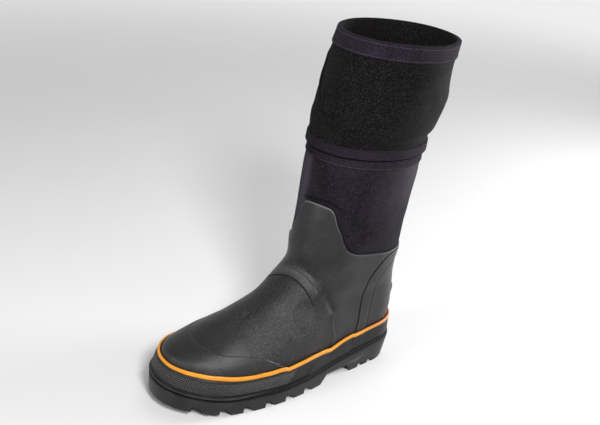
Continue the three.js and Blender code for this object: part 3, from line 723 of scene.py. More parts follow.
# 1 on the deep grained vamp between the toe cap and the quarter line
def vampShare(y, z):
    lineY, lineZ = zip(*quarterLine[::-1])
    edge, soft = np.interp(z, lineZ, lineY), np.interp(z, vampZone["z"], vampZone["soft"])
    behind = smooth((edge + soft - y) / np.maximum(soft, 3) / 1.4)
    return behind * eased(y, *vampZone["toe"]) * eased(-z, *vampZone["top"])


# Painted shade: 1 where shade is painted dark into the rubber, in the trough behind the bridge, on the low sides of
# the vamp and, more faintly, high on the shell
def paintedShadeShare(y, z):
    trough = np.exp(-((awayFrom(y, z, shadeLine)[0] / shadeZone["trough"]) ** 2))
    top = np.interp(y, shadeZone["y"], shadeZone["top"])
    low = smooth((top - z) / shadeZone["soft"]) * eased(y, *shadeZone["toe"]) * eased(-y, *shadeZone["rear"])
    high = shadeZone["high"] * eased(z, *shadeZone["highFrom"])
    return np.clip(np.maximum(shadeZone["most"] * np.maximum(trough, low), high), 0, 1)


def upperRelief(level, place):
    point = onNet(boot, "points", level, place)
    y, z = point[..., 1], point[..., 2]
    out = folds(y, z, place, upperFolds)
    turn = 2 * np.pi * place
    out += 0.25 * np.sin(3 * turn + z / 21) * np.sin(z / 17 + y / 40) * smooth((level - 30) / 40)
    return out


upper = {
    "columns": 420, "rows": 150, "inside": 24, "rim": (-0.05, -0.35, -1.2, -2.05, -2.35), "rimBulge": 0.45,
    "innerRelief": 0.6, "rimWidth": 0.9, "lineWidth": 0.8, "lineHighlight": 0.22,
}


def makeUpper():
    rows, inside, rim = upper["rows"], upper["inside"], np.array(upper["rim"])
    total = rows + len(rim) + inside + 1
    places = collarColumns()

    def place(s, k):
        s = places(s)
        top = collarLevel(s)
        outer, onRim = k <= rows, (k > rows) & (k <= rows + len(rim))
        share = np.select([outer, onRim], [k / rows, 1], 1 - (k - rows - len(rim)) / inside)
        level = np.clip(share, 0, 1) * top
        outward = np.select([outer, onRim], [0, rim[np.clip(k - rows - 1, 0, len(rim) - 1)]], -shell["wall"])
        relief = upperRelief(level, s) * np.where(outer | onRim, 1, upper["innerRelief"])
        points = onForm(boot, level, s, outward + relief)
        points[..., 2] += np.where(onRim, upper["rimBulge"] * np.sin(np.pi * (k - rows) / (len(rim) + 1)), 0)
        y, z = points[..., 1], points[..., 2]
        rimWearAndHighlight = np.where(outer | onRim, np.exp(-(((top - level) / upper["rimWidth"]) ** 2)), 0) * rimWear(s)
        line = np.exp(-((awayFrom(y, z, quarterLine[8:])[0] / upper["lineWidth"]) ** 2))
        # A pale painted highlight along the low end of the quarter line's ridge, added to the rim wear
        rimWearAndHighlight = rimWearAndHighlight + upper["lineHighlight"] * line * outer * smooth((82 - z) / 10)
        return points, {"rim": rimWearAndHighlight, "vamp": vampShare(y, z) * outer, "paintedShade": paintedShadeShare(y, z) * outer}

    return gridPiece("upper_shell", upper["columns"], total, place)


def rimWear(place):
    return 0.15 + 0.85 * smooth((0.09 - np.abs(place - 0.455)) / 0.05)


wear(makeUpper(), rubber, "shell_rubber", "upper")
print("upper made")

# The crease over the tab, in the front view (x, z)
tabCrease = [
    (-17, 216), (-7.7, 218), (0.6, 219), (9.8, 220.6), (18.2, 221.4), (25.5, 218.8), (30.6, 213), (34.7, 205.5),
]
sockFolds = table(
    "line width height side front",
    (tabCrease, 1.4, -1.6, 0, True),
    ([(x, z + 5) for x, z in tabCrease], 4, 1.5, 0, True),
    ([(-76, 262), (-74, 235), (-66, 205)], 6, -1.2, 1),
    ([(-50, 268), (-46, 235), (-40, 200)], 13, 1.1, 1),
    ([(-14, 268), (-12, 235), (-16, 190)], 12, -0.9, 1),
    ([(-66, 206), (-58, 192), (-52, 172)], 7, -1.3, 1),
    ([(30, 262), (28, 225), (22, 185)], 10, 0.8, 0),
    ([(-30, 262), (-20, 256), (0, 258)], 5, -0.8, 1),
    ([(-60, 250), (-30, 240), (0, 236)], 8, -0.6, -1),
)


sock = {
    "columns": 320, "rows": 170, "inside": 30, "uv": (380, 560), "rimBulge": 0.6,
    "shin": {"out": 3.6, "place": 0.56, "width": 0.05, "level": 187, "tall": 34},
    "step": {"out": 1.3, "within": 5, "drop": 0.35, "from": 6, "over": 30}, "topFade": 16, "creaseMark": 1.3,
}


# Painted light and shade on the cloth: worn and shin paint the upper outer side and the shin paler as painted light,
# and tab paints painted shade behind the tab
sockPaintedLightAndShade = {"worn": 0.55, "shin": 0.5, "tab": 0.8}


def sockRelief(level, place):
    point = onNet(boot, "points", level, place)
    out = folds(point[..., 1], point[..., 2], place, sockFolds, point[..., 0])
    shin, step = sock["shin"], sock["step"]
    aside, high = (np.mod(place, 1) - shin["place"]) / shin["width"], (level - shin["level"]) / shin["tall"]
    out += shin["out"] * np.exp(-(aside ** 2) - high ** 2)
    above = level - collarLevel(place)
    out += step["out"] * smooth(above / step["within"]) * (
        1 - step["drop"] * smooth((above - step["from"]) / step["over"])
    )
    return out * smooth((boot["top"] - level) / sock["topFade"]) * smooth((above + 1) / 2)


def makeSock():
    rows, inside = sock["rows"], sock["inside"]
    total = rows + inside + 2

    def place(s, k):
        out = k <= rows
        crowded = np.interp(k / rows, [0, 0.2, 0.7, 1], [0, 0.42, 0.8, 1])
        share = np.where(out, crowded, np.where(k <= rows + 1, 1, 1 - (k - rows - 1) / (inside + 1)))
        level = np.clip(share, 0, 1) * boot["top"]
        outward = np.where(out, sockOut, np.where(k == rows + 1, (sockOut + sockIn) / 2, sockIn))
        points = onForm(boot, level, s, outward + np.where(out, sockRelief(level, s), 0))
        crease, where = awayFrom(points[..., 0], points[..., 2], tabCrease)
        onFront = out * (np.abs(np.mod(s, 1) - 0.46) < 0.1) * smooth(where / 0.1) * smooth((1 - where) / 0.35)
        points[..., 2] += np.where(k == rows + 1, sock["rimBulge"], 0)
        y, z = points[..., 1], points[..., 2]
        around = np.mod(s, 1)
        # Painted light on the upper outer side and the shin, painted shade behind the tab
        tone = sockPaintedLightAndShade["worn"] * eased(y, -30, 60) * eased(z, 190, 60) * (s < 0.5) * smooth(s / 0.08)
        tone = tone + sockPaintedLightAndShade["shin"] * eased(around, 0.5, 0.03) * eased(-around, -0.62, 0.05)
        tone -= sockPaintedLightAndShade["tab"] * np.exp(-(((y + 62) / 17) ** 2) - ((z - 200) / 26) ** 2) * (s < 0.5)
        # Painted shade: the crease over the tab is painted near black
        dent = 0.95 * np.exp(-((crease / sock["creaseMark"]) ** 2)) * onFront
        return points, {"dent": dent, "tone": tone * out}

    return gridPiece("sock_neoprene", sock["columns"], total, place, uvSize=sock["uv"])


wear(makeSock(), sockCloth, "neoprene", "neoprene_sock")
print("sock made")


# Ribbons that lie on the boot between two lines of (level, place) samples. "dark" is the width of the dark
# line along each edge, painted shade that stands in for a groove, "ends" how far the ribbon rises from its
# ends, "farSoft" how softly the far edge falls, and "worn" how strongly a pale painted highlight, with some
# rubbed wear, runs along the middle.
lineEnds, ribbonUnder = 22, 0.3


def ribbon(name, first, second, look):
    wall, dark, ends, toneEnds = look["wall"], look["dark"], look["ends"], look["toneEnds"]
    farSoft, deep, worn = look["farSoft"], look["deep"], look["worn"]
    columns = len(first) - 1
    edge = [(-1, 0.0), (-0.8, 0.06), (0, 0.06), (0.08, 0.5), (0.35, 0.82), (0.9, 0.97), (1.6, 1)]
    spread = np.linspace(0, 1, look["rows"] + 1)[1:-1]
    nodes = [("near", d, h) for d, h in edge] + [("mid", t, 1) for t in spread]
    nodes += [("far", d, h) for d, h in edge[::-1]] + [("under", 0.97, 0), ("under", 0.03, 0)]
    kind = np.array([n[0] for n in nodes])
    amount = np.array([n[1] for n in nodes], float)
    height = np.array([n[2] for n in nodes], float)
    count = len(nodes)
    a3, b3 = onForm(boot, first[:, 0], first[:, 1]), onForm(boot, second[:, 0], second[:, 1])
    width = np.maximum(np.linalg.norm(a3 - b3, axis=1), 0.4)
    run = lengthAlong((a3 + b3) / 2)
    nearLine, farLine = (max(value, 0.2) for value in dark)

    def place(s, k):
        i = np.rint(s * columns).astype(int)
        w = width[i]
        which, much = kind[k], amount[k]
        outside = much < 0
        near = np.where(outside, much * nearLine, np.minimum(much, w * 0.4)) / w
        far = np.where(outside, much * farLine, np.minimum(much * (1 + farSoft), w * 0.4)) / w
        nearIn, farIn = np.minimum(1.6 / w, 0.4), np.minimum(1.6 * (1 + farSoft) / w, 0.4)
        t = np.select(
            [which == "near", which == "far", which == "under"], [near, 1 - far, much],
            nearIn + much * (1 - nearIn - farIn),
        )
        pair = lerp(first[i], second[i], t[:, None])
        fade = np.ones(len(s))
        if ends[0]:
            fade = smooth(run[i] / ends[0]) * smooth((run[-1] - run[i]) / ends[1])
        lineFade = smooth(run[i] / lineEnds) * smooth((run[-1] - run[i]) / lineEnds) if ends[0] else fade
        skirt = np.isin(amount[k], (-0.8, 0)) & (which != "under")
        body = (0.08 + (wall - 0.08) * height[k]) * fade - ribbonUnder * (1 - fade)
        skirtLift = 0.08 * lineFade - ribbonUnder * (1 - lineFade)
        lift = np.where(height[k] == 0, -0.4, np.where(skirt, skirtLift, body))
        level, spot = pair[:, 0], pair[:, 1]
        points = onForm(boot, level, spot, lift + upperRelief(level, spot))
        strength = np.where(which == "near", dark[0] > 0, dark[1] > 0)
        inLine = (amount[k] <= 0.08) & (which != "under") & (which != "mid")
        onEdge = np.exp(-(((amount[k] - 0.9) / 0.5) ** 2)) * np.isin(which, ("near", "far"))
        grained = vampShare(points[:, 1], points[:, 2])
        # Painted shade carries on from the shell over the ribbon, fading where the ribbon rises
        paintedShade = paintedShadeShare(points[:, 1], points[:, 2])
        tone = smooth(run[i] / toneEnds) * smooth((run[-1] - run[i]) / toneEnds) if toneEnds else fade
        if deep:
            grained, paintedShade = lerp(grained, deep, tone), paintedShade * (1 - tone)
        else:
            grained, paintedShade = grained * (1 - fade), paintedShade * (1 - 0.5 * fade)
        # A pale painted highlight, with some rubbed wear, along the middle of the bridge band
        bandRubAndHighlight = worn * np.sin(np.pi * np.clip(t, 0, 1))
        return points, {
            "vamp": grained, "paintedShade": paintedShade, "rim": (0.1 * onEdge * fade if not toneEnds else 0) + bandRubAndHighlight * tone,
            "dent": inLine * strength * smooth((lineFade - 0.3) / 0.6) * 0.95,
        }

    return gridPiece(name, columns, count, place)


# Lines on the outer side and over the middle, as (place, level)
cap = {
    "wall": 0.7, "dark": (0, 0), "ends": (6, 6), "toneEnds": 6, "farSoft": 0, "rows": 30, "deep": 0.4, "worn": 0,
    "edge": [
        (0.2901, 17), (0.302, 22.8), (0.3161, 27.1), (0.3381, 32.2), (0.3575, 35.1), (0.3778, 36.9), (0.4008, 38.1),
        (0.4224, 38.6), (0.4437, 40.1), (0.4626, 41.8), (0.4795, 43.1), (0.4938, 44), (0.505, 44.3),
    ],
    "low": 14,
}
bridge = {
    "wall": 0.75, "dark": (1.3, 0), "ends": (58, 58), "toneEnds": 75, "farSoft": 6, "rows": 16, "deep": 0.6,
    "worn": 0.3,
    "front": [
        (0.29, 56), (0.309, 63.7), (0.3368, 71), (0.3659, 78.1), (0.3951, 84.9), (0.421, 90.4), (0.4467, 94.1),
        (0.477, 96.1),
    ],
    "rear": [
        (0.31, 70), (0.3339, 79.4), (0.3636, 86.6), (0.3878, 92.5), (0.4084, 97.6), (0.4341, 102.5),
        (0.4616, 105.3), (0.477, 105.8),
    ],
}
strip = {
    "wall": 0.5, "dark": (2.1, 3.4), "ends": (0, 0), "toneEnds": 0, "farSoft": 0, "rows": 12, "deep": 0,
    "worn": 0,
    "front": [
        (0.133, 14), (0.1338, 20), (0.1345, 25), (0.1368, 30.2), (0.1419, 38.1), (0.1529, 48.3), (0.1706, 61),
        (0.1897, 74.5), (0.2049, 86.4), (0.2062, 94.8), (0.1984, 103.8), (0.1814, 113.2), (0.165, 118.5),
        (0.14, 121.3), (0.09, 122.2), (0, 122.6),
    ],
    "rear": [
        (0.1146, 14), (0.1147, 18), (0.1149, 24), (0.1152, 28.8), (0.1212, 38.8), (0.1315, 50.2), (0.1464, 63.3),
        (0.1612, 76.3), (0.1700, 87), (0.1640, 94.5), (0.1470, 101), (0.12, 106), (0.09, 109.5), (0.05, 112),
        (0, 113),
    ],
}


def makeToeCap():
    over = lineOver(cap["edge"], 0.505, 280)
    low = over.copy()
    low[:, 0] = cap["low"]
    return ribbon("toe_cap_shell", over, low, cap)


def makeBridge():
    first, second = lineOver(bridge["front"], 0.477), lineOver(bridge["rear"], 0.477)
    return ribbon("instep_bridge_shell", first, second, bridge)


def makeAnkleStrip():
    first, second = lineOver(strip["front"], 0, 360), lineOver(strip["rear"], 0, 360)
    return ribbon("ankle_strip_shell", first, second, strip)


wear(makeToeCap(), rubber, "shell_rubber", "toe_cap")
wear(makeBridge(), rubber, "shell_rubber", "instep_bridge")
wear(makeAnkleStrip(), rubber, "shell_rubber", "ankle_strip")
print("overlays made")

spur = {"level": 47.5, "width": 30, "samples": 721}


def makeSpur():
    level = spur["level"]
    section = [
        (0.3, -0.6), (0.3, 3.5), (0.1, 6.9), (-0.5, 7.7), (-1.4, 8), (-4.6, 8), (-5.8, 7.7),
        (-15.9, 4.4), (-16.8, 3.7), (-17, 2.8), (-17, -0.6),
    ]
    down, out = np.array(section).T
    samples = spur["samples"]
    around = onForm(boot, np.full(samples, level), np.linspace(0, 1, samples))
    half = spur["width"] / 2 / lengthAlong(around)[-1]

    def place(s, k):
        side = 2 * s - 1
        roundOff = (1 - np.abs(side) ** 6) ** 0.25
        spot = half * side
        lift = np.where(out[k] < 0, out[k], out[k] * (0.25 + 0.75 * roundOff))
        return onForm(boot, level + down[k] * (0.9 + 0.1 * roundOff), spot, lift), {
            "rim": 0.1 * (out[k] > 7), "dent": 0.7 * (out[k] < 0)
        }

    return gridPiece("heel_spur_shell", 36, len(section), place)


wear(makeSpur(), rubber, "shell_rubber", "heel_spur")

# How the stripe and the sole's top wander up and down along the foot: (y, stripe, sole)
wander = np.array([
    (-265, 1.2, 0.5), (-249, 2.3, 0.5), (-236, 2.2, 0.4), (-220, 1.8, 0.2), (-203, 1.2, 0), (-184, 0.6, -0.4),
    (-163, 0.5, -1), (-150, 0.8, -1.8), (-145, 0.6, -2), (-139, -1.6, -2.1), (-117, -0.4, -1.6), (-100, 0, -1.2),
    (-84, -0.8, -0.8), (-73, -2.6, 0.2), (-65, -1.2, 0.7), (-50, 1.7, 1.6), (-38, 2.9, 2.2), (-33, 2, 2.4),
    (-25, 2.5, 2.6), (-21, 2.1, 2.7), (-12, 2.7, 2.8), (1, 3.1, 3), (15, 3.3, 3), (45, 3.3, 3),
]).T


def stripeWander(y):
    return np.interp(y, wander[0], wander[1])


def soleWander(y):
    return np.interp(y, wander[0], wander[2])


# The overlays underneath push the band and the stripe out a little
push = {"strip": 0.6, "seam": 0.5, "toe": 0.4}


def pushOf(y):
    over = eased(y, -38, 2.5) * eased(-y, 20, 2.5)
    seam = np.exp(-(((y + 70) / 9) ** 2))
    return push["strip"] * over + push["seam"] * seam + push["toe"] * eased(-y, 143, 3)


def toeShare(y):
    return smooth((-y - 150) / 60)


def makeBand():
    rows = [(0.1, -0.2), (0, 0.9), (0.15, 0.99), (0.9, 1)]
    rows += [(lerp(1.6, 14.6, t), 1) for t in np.linspace(0, 1, 14)]
    rows += [(15.6, 0.98), (16.3, 0.9), (16.5, 0.7), (16.5, -0.2)]
    levels, outs = np.array(rows).T
    lines = {
        "seam": [(-136, 20), (-126, 32), (-122, 41)],
        "wave": [(-112, 27.5), (-96, 33), (-84, 35), (-78, 34.2), (-68, 35.5), (-52, 38.8), (-38, 39.8)],
        "front": [(-42, 36), (-38, 41), (-34.5, 47)],
        "rear": [(-31, 37), (-27, 42), (-22, 48)],
    }

    def place(s, k):
        level, under = levels[k], outs[k] < 0
        y = onNet(boot, "points", level, s)[..., 1]
        upShare = level / band["height"]
        full = band["wall"] + band["flare"] * (1 - upShare) + pushOf(y) * upShare
        full += 2.2 * pastBall(y) * (1 - upShare) + 0.35 * np.sin(np.pi * upShare)
        points = onForm(boot, level, s, full)
        z = points[..., 2] + np.where(under, 0, lerp(soleWander(y), stripeWander(y), upShare))
        # dent paints painted shade: the band's lips at the sole and under the stripe, the seam, the lines by the
        # ankle strip and the edge of the wave are painted near black where shade falls
        dip, dent = np.zeros(len(s)), 0.8 * (outs[k] < 0.75)
        for key, width, depth in (("seam", 0.7, 0.3), ("front", 0.8, 0.35), ("rear", 0.8, 0.35)):
            near = np.exp(-((awayFrom(y, z, lines[key])[0] / width) ** 2))
            dip += depth * near
            dent = np.maximum(dent, 0.75 * near)
        below = np.interp(y, *zip(*lines["wave"]))
        inWave = smooth((y + 112) / 6) * smooth((-38 - y) / 3)
        dip -= 0.9 * smooth((below - z) / 0.8 + 0.5) * inWave
        waveLine = np.exp(-(((z - below - 0.2) / 0.7) ** 2)) * inWave * smooth((y + 100) / 20)
        dent = np.maximum(dent, 0.85 * waveLine)
        points = onForm(boot, level, s, np.where(under, outs[k], full * outs[k] - dip))
        points[..., 2] = z
        seamY = np.interp(z, [20, 32, 41], [-136, -126, -122])
        knurl = smooth((seamY - 2 - y) / 4) * smooth((level - 1.8) / 0.8) * smooth((14.9 - level) / 0.8)
        return points, {"knurl": knurl, "dent": dent}

    return gridPiece("foxing_band", 560, len(rows), place, uvSize=(800, 36))


def makeStripe():
    rows = [
        (0, -0.2), (0, 0.8), (0.08, 0.9), (0.4, 0.985), (1.6, 1.03), (2.8, 1), (3.4, 0.95), (3.7, 0.84), (3.75, 0.5),
        (3.7, 0.42), (3.6, -0.2),
    ]
    levels, outs = np.array(rows).T
    levels = levels + band["height"] + 0.5

    def place(s, k):
        y = onNet(boot, "points", levels[k], s)[..., 1]
        wobble = 0.12 * np.sin(s * 190) + 0.1 * np.sin(s * 77 + 2)
        full = stripe["wall"] + 0.1 + pushOf(y) + 0.3 * wobble
        points = onForm(boot, levels[k], s, np.where(outs[k] < 0, outs[k], full * outs[k]))
        points[..., 2] += stripeWander(y) + wobble
        edge = np.where((outs[k] < 0.45) | (levels[k] < levels[0] + 0.05), 1.0, 0)
        return points, {"dull": smooth((y + 60) / 110) * 0.8, "edge": edge}

    return gridPiece("piping_stripe_rubber", 640, len(rows), place)


wear(makeBand(), bandRubber, "band_rubber", "rubber_band")
wear(makeStripe(), stripeRubber, "piping_rubber", "piping_stripe")
print("band and stripe made")

# Outsole: the edge rows from the middle of the tread out, up the edge and back in over the top
lugs = {
    "height": 7, "pitch": 27.5, "gap": 6, "slant": 7, "toe": 22, "channel": 5, "middle": 26, "back": 86,
    "archHigh": 12, "archSlant": 10, "heelBreast": 34, "heelFront": 12, "heelPitch": 17, "heelGap": 6.5,
    "heelSlant": 1.5, "heelHigh": 5.5, "spine": 24,
}
edgeRows = table(
    "in wall groove bead inset dent",
    (0, 0, 0, 0, 1, 0),
    (0.6, 0, 0, 0, 1, 0),
    (1, 0, 0, 0, 1.4, 0),
    (1, 0.03, 0, 0, 1, 0),
    (1, 0.35, 0, 0, 0.65, 0),
    (1, 0.7, 0, 0, 0.3, 0),
    (1, 0.94, 0, 0, 0.03, 0),
    (1, 1, 0, 0, 0.02, 0.14),
    (1, 1, 0.1, 0, 0, 0.85),
    (1, 1, 0.25, 0, 0, 1),
    (1, 1, 0.75, 0, 0, 1),
    (1, 1, 0.92, 0, 0, 0.85),
    (1, 1, 1, 0.03, 0, 0.15),
    (1, 1, 1, 0.25, 0, -0.08),
    (1, 1, 1, 0.6, 0, -0.08),
    (1, 1, 1, 0.9, 0, 0.12),
    (1, 1, 1, 1, 0, 0.4),
    (0.6, 1, 1, 1, 0, 1),
    (0, 1, 1, 1, 0, 1),
)


def treadLift(y):
    return sole["treadSpring"] * pastBall(y) ** sole["treadCurve"]


def soleEdge(s, k):
    row = {key: columnOf(edgeRows, key)[k] for key in edgeRows[0]}
    onBead = (row["groove"] == 1) & (row["in"] == 1)

    def edgeAt(spot):
        y = onNet(boot, "points", 0, spot)[..., 1]
        behind = lerp(sole["heelLedge"], sole["sideLedge"], smooth(along(y) / sole["waistShare"]))
        ledge = lerp(behind, sole["toeLedge"], pastBall(y))
        taper = sole["treadInset"] + sole["heelTaper"] * smooth(1 - along(y) / sole["waistShare"])
        inset = row["inset"] * taper * sole["visibleTaper"] + row["dent"] * sole["grooveDepth"]
        inset += 0.8 * pastBall(y)
        inset += 3 * np.exp(-(((spot - 0.565) / 0.045) ** 2)) + 2.2 * onBead * (1 - toeShare(y))
        return onForm(boot, np.zeros(len(s)), spot, band["wall"] + band["flare"] + ledge - inset)

    here, across = edgeAt(s), edgeAt(1 - s)
    points = lerp((here + across) / 2, here, row["in"][:, None])
    y = points[:, 1]
    bead = lerp(0.9, sole["bead"], toeShare(y))
    groove = sole["groove"] + sole["bead"] - bead
    wallTop = soleTop(y) - sole["groove"] - sole["bead"]
    points[:, 2] = lerp(treadLift(y), wallTop, row["wall"]) + groove * row["groove"] + bead * row["bead"]
    points[:, 2] += soleWander(y) * row["wall"] ** 2
    # dent paints painted shade in the groove above the bead and on the bead where the band overhangs it
    inGroove = (row["dent"] > 0.5) & (row["in"] == 1) & (row["bead"] < 0.5)
    return points, {"dent": np.maximum(inGroove, onBead * (1 - toeShare(y)))}


# A prism drawn in the side view: the outline's points are extruded from x = low to x = high
def sidePrism(bm, outline, low, high):
    verts = [bm.verts.new(Vector((low, y, z)) * mm) for y, z in outline]
    face = bm.faces.new(verts)
    grown = bmesh.ops.extrude_face_region(bm, geom=[face])["geom"]
    moved = [v for v in grown if isinstance(v, bmesh.types.BMVert)]
    bmesh.ops.translate(bm, verts=moved, vec=Vector((high - low, 0, 0)) * mm)


def cutWith(piece, fill):
    bm = bmesh.new()
    fill(bm)
    bmesh.ops.recalc_face_normals(bm, faces=bm.faces)
    cutter = finishMesh("cutter", bm, flat=True)
    cut = piece.modifiers.new("cut", "BOOLEAN")
    cut.operation, cut.solver, cut.object = "DIFFERENCE", "EXACT", cutter
    applyModifiers(piece)
    bpy.data.objects.remove(cutter)


def applyModifiers(piece):
    graph = bpy.context.evaluated_depsgraph_get()
    mesh = bpy.data.meshes.new_from_object(piece.evaluated_get(graph))
    old = piece.data
    piece.modifiers.clear()
    piece.data = mesh
    bpy.data.meshes.remove(old)
    mesh.name = piece.name


def notch(bm, y, width, slant, height, low, high):
    top, back, corner = treadLift(y) + height, y + width + slant, 0.6
    outline = [(y, -height), (y, top - corner), (y + corner, top), (y + width, top)]
    sidePrism(bm, [*outline, (back, treadLift(y)), (back, -height)], low, high)


def cutArch(bm):
    back, breast, slant, high = lugs["back"], lugs["heelBreast"], lugs["archSlant"], lugs["archHigh"]
    outline = [
        (-back, -10), (-back, 0), (-back + slant - 1.5, high - 1.5), (-back + slant, high),
        (-breast - slant, high), (-breast - slant + 1.5, high - 1.5), (-breast, 0), (-breast, -10),
    ]
    sidePrism(bm, outline, -90, 90)


def cutNotches(bm):
    half = lugs["middle"] / 2
    front = toeY + lugs["toe"]
    sides = ((half + lugs["channel"] - 0.2, 90), (-90, -half - lugs["channel"] + 0.2))
    for y in np.arange(-lugs["back"] - lugs["pitch"], front, -lugs["pitch"]):
        for low, high in sides:
            notch(bm, y, lugs["gap"], lugs["slant"], lugs["height"], low, high)
    for y in np.arange(-lugs["back"] - 1.5 * lugs["pitch"], front, -lugs["pitch"]):
        across = half + lugs["channel"] / 2
        notch(bm, y, lugs["gap"], lugs["slant"], lugs["height"], -across, across)
    first = lugs["heelFront"] - lugs["heelBreast"]
    for y in (first, first + lugs["heelPitch"]):
        for low, high in ((lugs["spine"] / 2, 90), (-90, -lugs["spine"] / 2)):
            notch(bm, y, lugs["heelGap"], lugs["heelSlant"], lugs["heelHigh"], low, high)


def cutChannels(bm):
    half, front = lugs["middle"] / 2, toeY + lugs["toe"]
    back = -lugs["back"] + lugs["archSlant"]
    roof = [(y, treadLift(y) + lugs["height"] - 0.1) for y in np.linspace(back, front, 8)]
    for low, high in ((half, half + lugs["channel"]), (-half - lugs["channel"], -half)):
        sidePrism(bm, [(back, -10), *roof, (front, -10)], low, high)


def makeOutsole():
    piece = gridPiece("outsole_rubber", 240, len(edgeRows) - 1, soleEdge, ring=False)
    for cutter in (cutArch, cutNotches, cutChannels):
        cutWith(piece, cutter)
    return piece


def makeTeeth():
    teeth = {
        "pitch": 2.9, "size": (1.5, 2, 1.5), "until": -135, "edgeRow": 8, "out": 1, "up": 0.5, "samples": 2001,
    }
    last = teeth["samples"] - 1
    path = soleEdge(np.linspace(0, 1, last + 1), np.full(last + 1, teeth["edgeRow"]))[0]
    out = np.cross(np.gradient(path, axis=0), (0, 0, 1))
    out /= np.linalg.norm(out, axis=1, keepdims=True)
    run = lengthAlong(path)
    bm = bmesh.new()
    for at in np.arange(0, run[-1] - teeth["pitch"] / 2, teeth["pitch"]):
        i = int(np.searchsorted(run, at))
        if path[i, 1] > teeth["until"]:
            continue
        side = Vector(path[min(i + 1, last)] - path[max(i - 1, 0)]).normalized()
        away = Vector(out[i]) * (1 if out[i] @ (path[i] - path.mean(0)) > 0 else -1)
        basis = Matrix((side, away, side.cross(away))).transposed().to_4x4()
        size = Matrix.Diagonal((*(x * mm for x in teeth["size"]), 1))
        spot = Matrix.Translation((Vector(path[i]) + away * teeth["out"] + Vector((0, 0, teeth["up"]))) * mm)
        bmesh.ops.create_cube(bm, size=1, matrix=spot @ basis @ size)
    bmesh.ops.recalc_face_normals(bm, faces=bm.faces)
    return finishMesh("groove_teeth", bm, flat=True)


outsole = wear(makeOutsole(), soleRubber, "sole_rubber", "outsole")
for polygon in outsole.data.polygons:
    polygon.use_smooth = True
outsole.data.set_sharp_from_angle(angle=math.radians(38))
wear(makeTeeth(), soleRubber, "sole_rubber")
print("outsole made")


insoleForm = {"thick": 4, "cup": 1.5, "inset": 1.2}


def makeInsole():
    rows = [
        (0, 0), (0.35, 0), (0.8, 0), (0.97, 0), (1, 0.12), (1, 0.75), (0.985, 0.97), (0.8, 1), (0.35, 1), (0, 1),
    ]
    reach, high = np.array(rows).T

    def place(s, k):
        edge, far = (onForm(boot, np.zeros(len(s)), at, sockIn - insoleForm["inset"]) for at in (s, 1 - s))
        points = lerp((edge + far) / 2, edge, reach[k][:, None])
        y = points[:, 1]
        cup = insoleForm["cup"] * smooth((reach[k] - 0.6) / 0.4) * smooth(1 - along(y) / 0.5) * high[k]
        points[:, 2] = soleTop(y) + gap + insoleForm["thick"] * high[k] + cup
        return points, {}

    return gridPiece("insole_foam", 160, len(rows) - 1, place, ring=False, uvSize=(300, 100))


insole = wear(makeInsole(), liningCloth, "insole_foam", "insole")

# Leg: up to the shaft's top it follows the boot, and above it its own form
legEdge = boot["top"] - leg["overlap"]
legMesh = {
    "columns": 300, "rows": 90, "inside": 24, "uv": (400, 260), "rimBulge": 0.7, "blend": 12,
    "fadeLow": (13, 18), "fadeHigh": (20, 12),
}
legFolds = table(
    "line width height side front",
    ([(-46, 384), (-42, 350), (-37, 334), (-28, 327), (-20, 318)], 2.2, -1.6, 0, True),
    ([(-50, 384), (-47, 350), (-42, 332)], 4, 1.4, 0, True),
    ([(-14, 318), (-3, 317), (6, 314)], 2.6, 1.8, 0, True),
    ([(-20, 316), (-11, 312.5), (-3, 312), (4.5, 310), (12, 305)], 2.2, -1.8, 0, True),
    ([(-84, 292), (-60, 300), (-20, 296), (20, 300)], 6, 1.0, 1),
    ([(-80, 306), (-50, 312), (-30, 306)], 5, -1.2, 1),
    ([(-76, 322), (-58, 318), (-44, 326)], 4, 1.6, 1),
    ([(30, 300), (50, 312), (66, 318)], 8, -1.3, 0),
    ([(70, 340), (40, 334), (10, 344)], 9, 1.2, 0),
    ([(-60, 350), (-20, 342), (20, 352)], 9, -1.2, 1),
    ([(-70, 340), (-40, 352), (0, 344)], 9, 1.2, -1),
    ([(-80, 312), (-50, 322), (-10, 316)], 7, -1.3, -1),
)


def legPoint(high, place, outward):
    low = onForm(boot, np.minimum(legEdge + high, boot["top"]), place, legOut + outward)
    past = np.maximum(high - leg["overlap"], 0)
    low[..., 2] += past
    up = onForm(cuff, past, place, outward)
    return lerp(low, up, smooth(past / legMesh["blend"])[..., None])


def legRelief(high, place):
    point = legPoint(high, place, 0 * high)
    turn = 2 * np.pi * place
    out = folds(point[..., 1], point[..., 2], place, legFolds, point[..., 0])
    out += 0.7 * np.sin(3 * turn + 1) * np.sin(high / 23) + 0.4 * np.sin(5 * turn + high / 14)
    total = leg["overlap"] + cuff["top"]
    (low, over), (drop, under) = legMesh["fadeLow"], legMesh["fadeHigh"]
    return out * smooth((high - low) / over) * smooth((total - drop - high) / under)


def makeLeg():
    rows, inside, half = legMesh["rows"], legMesh["inside"], -leg["wall"] / 2
    total = rows + inside + 4
    full = leg["overlap"] + cuff["top"]

    def place(s, k):
        share = np.select([k <= rows, k == rows + 1], [k / rows, 1], 1 - (k - rows - 2) / inside)
        high = np.clip(share, 0, 1) * full
        relief = legRelief(high, s)
        outward = np.select(
            [k <= rows, k == rows + 1, k == total - 1], [relief, half, half], relief - leg["wall"]
        )
        points = legPoint(high, s, outward)
        bulge = legMesh["rimBulge"]
        points[..., 2] += np.select([k == rows + 1, k == total - 1], [bulge, -bulge], 0)
        return points, {}

    return gridPiece("leg_cloth", legMesh["columns"], total, place, uvSize=legMesh["uv"])


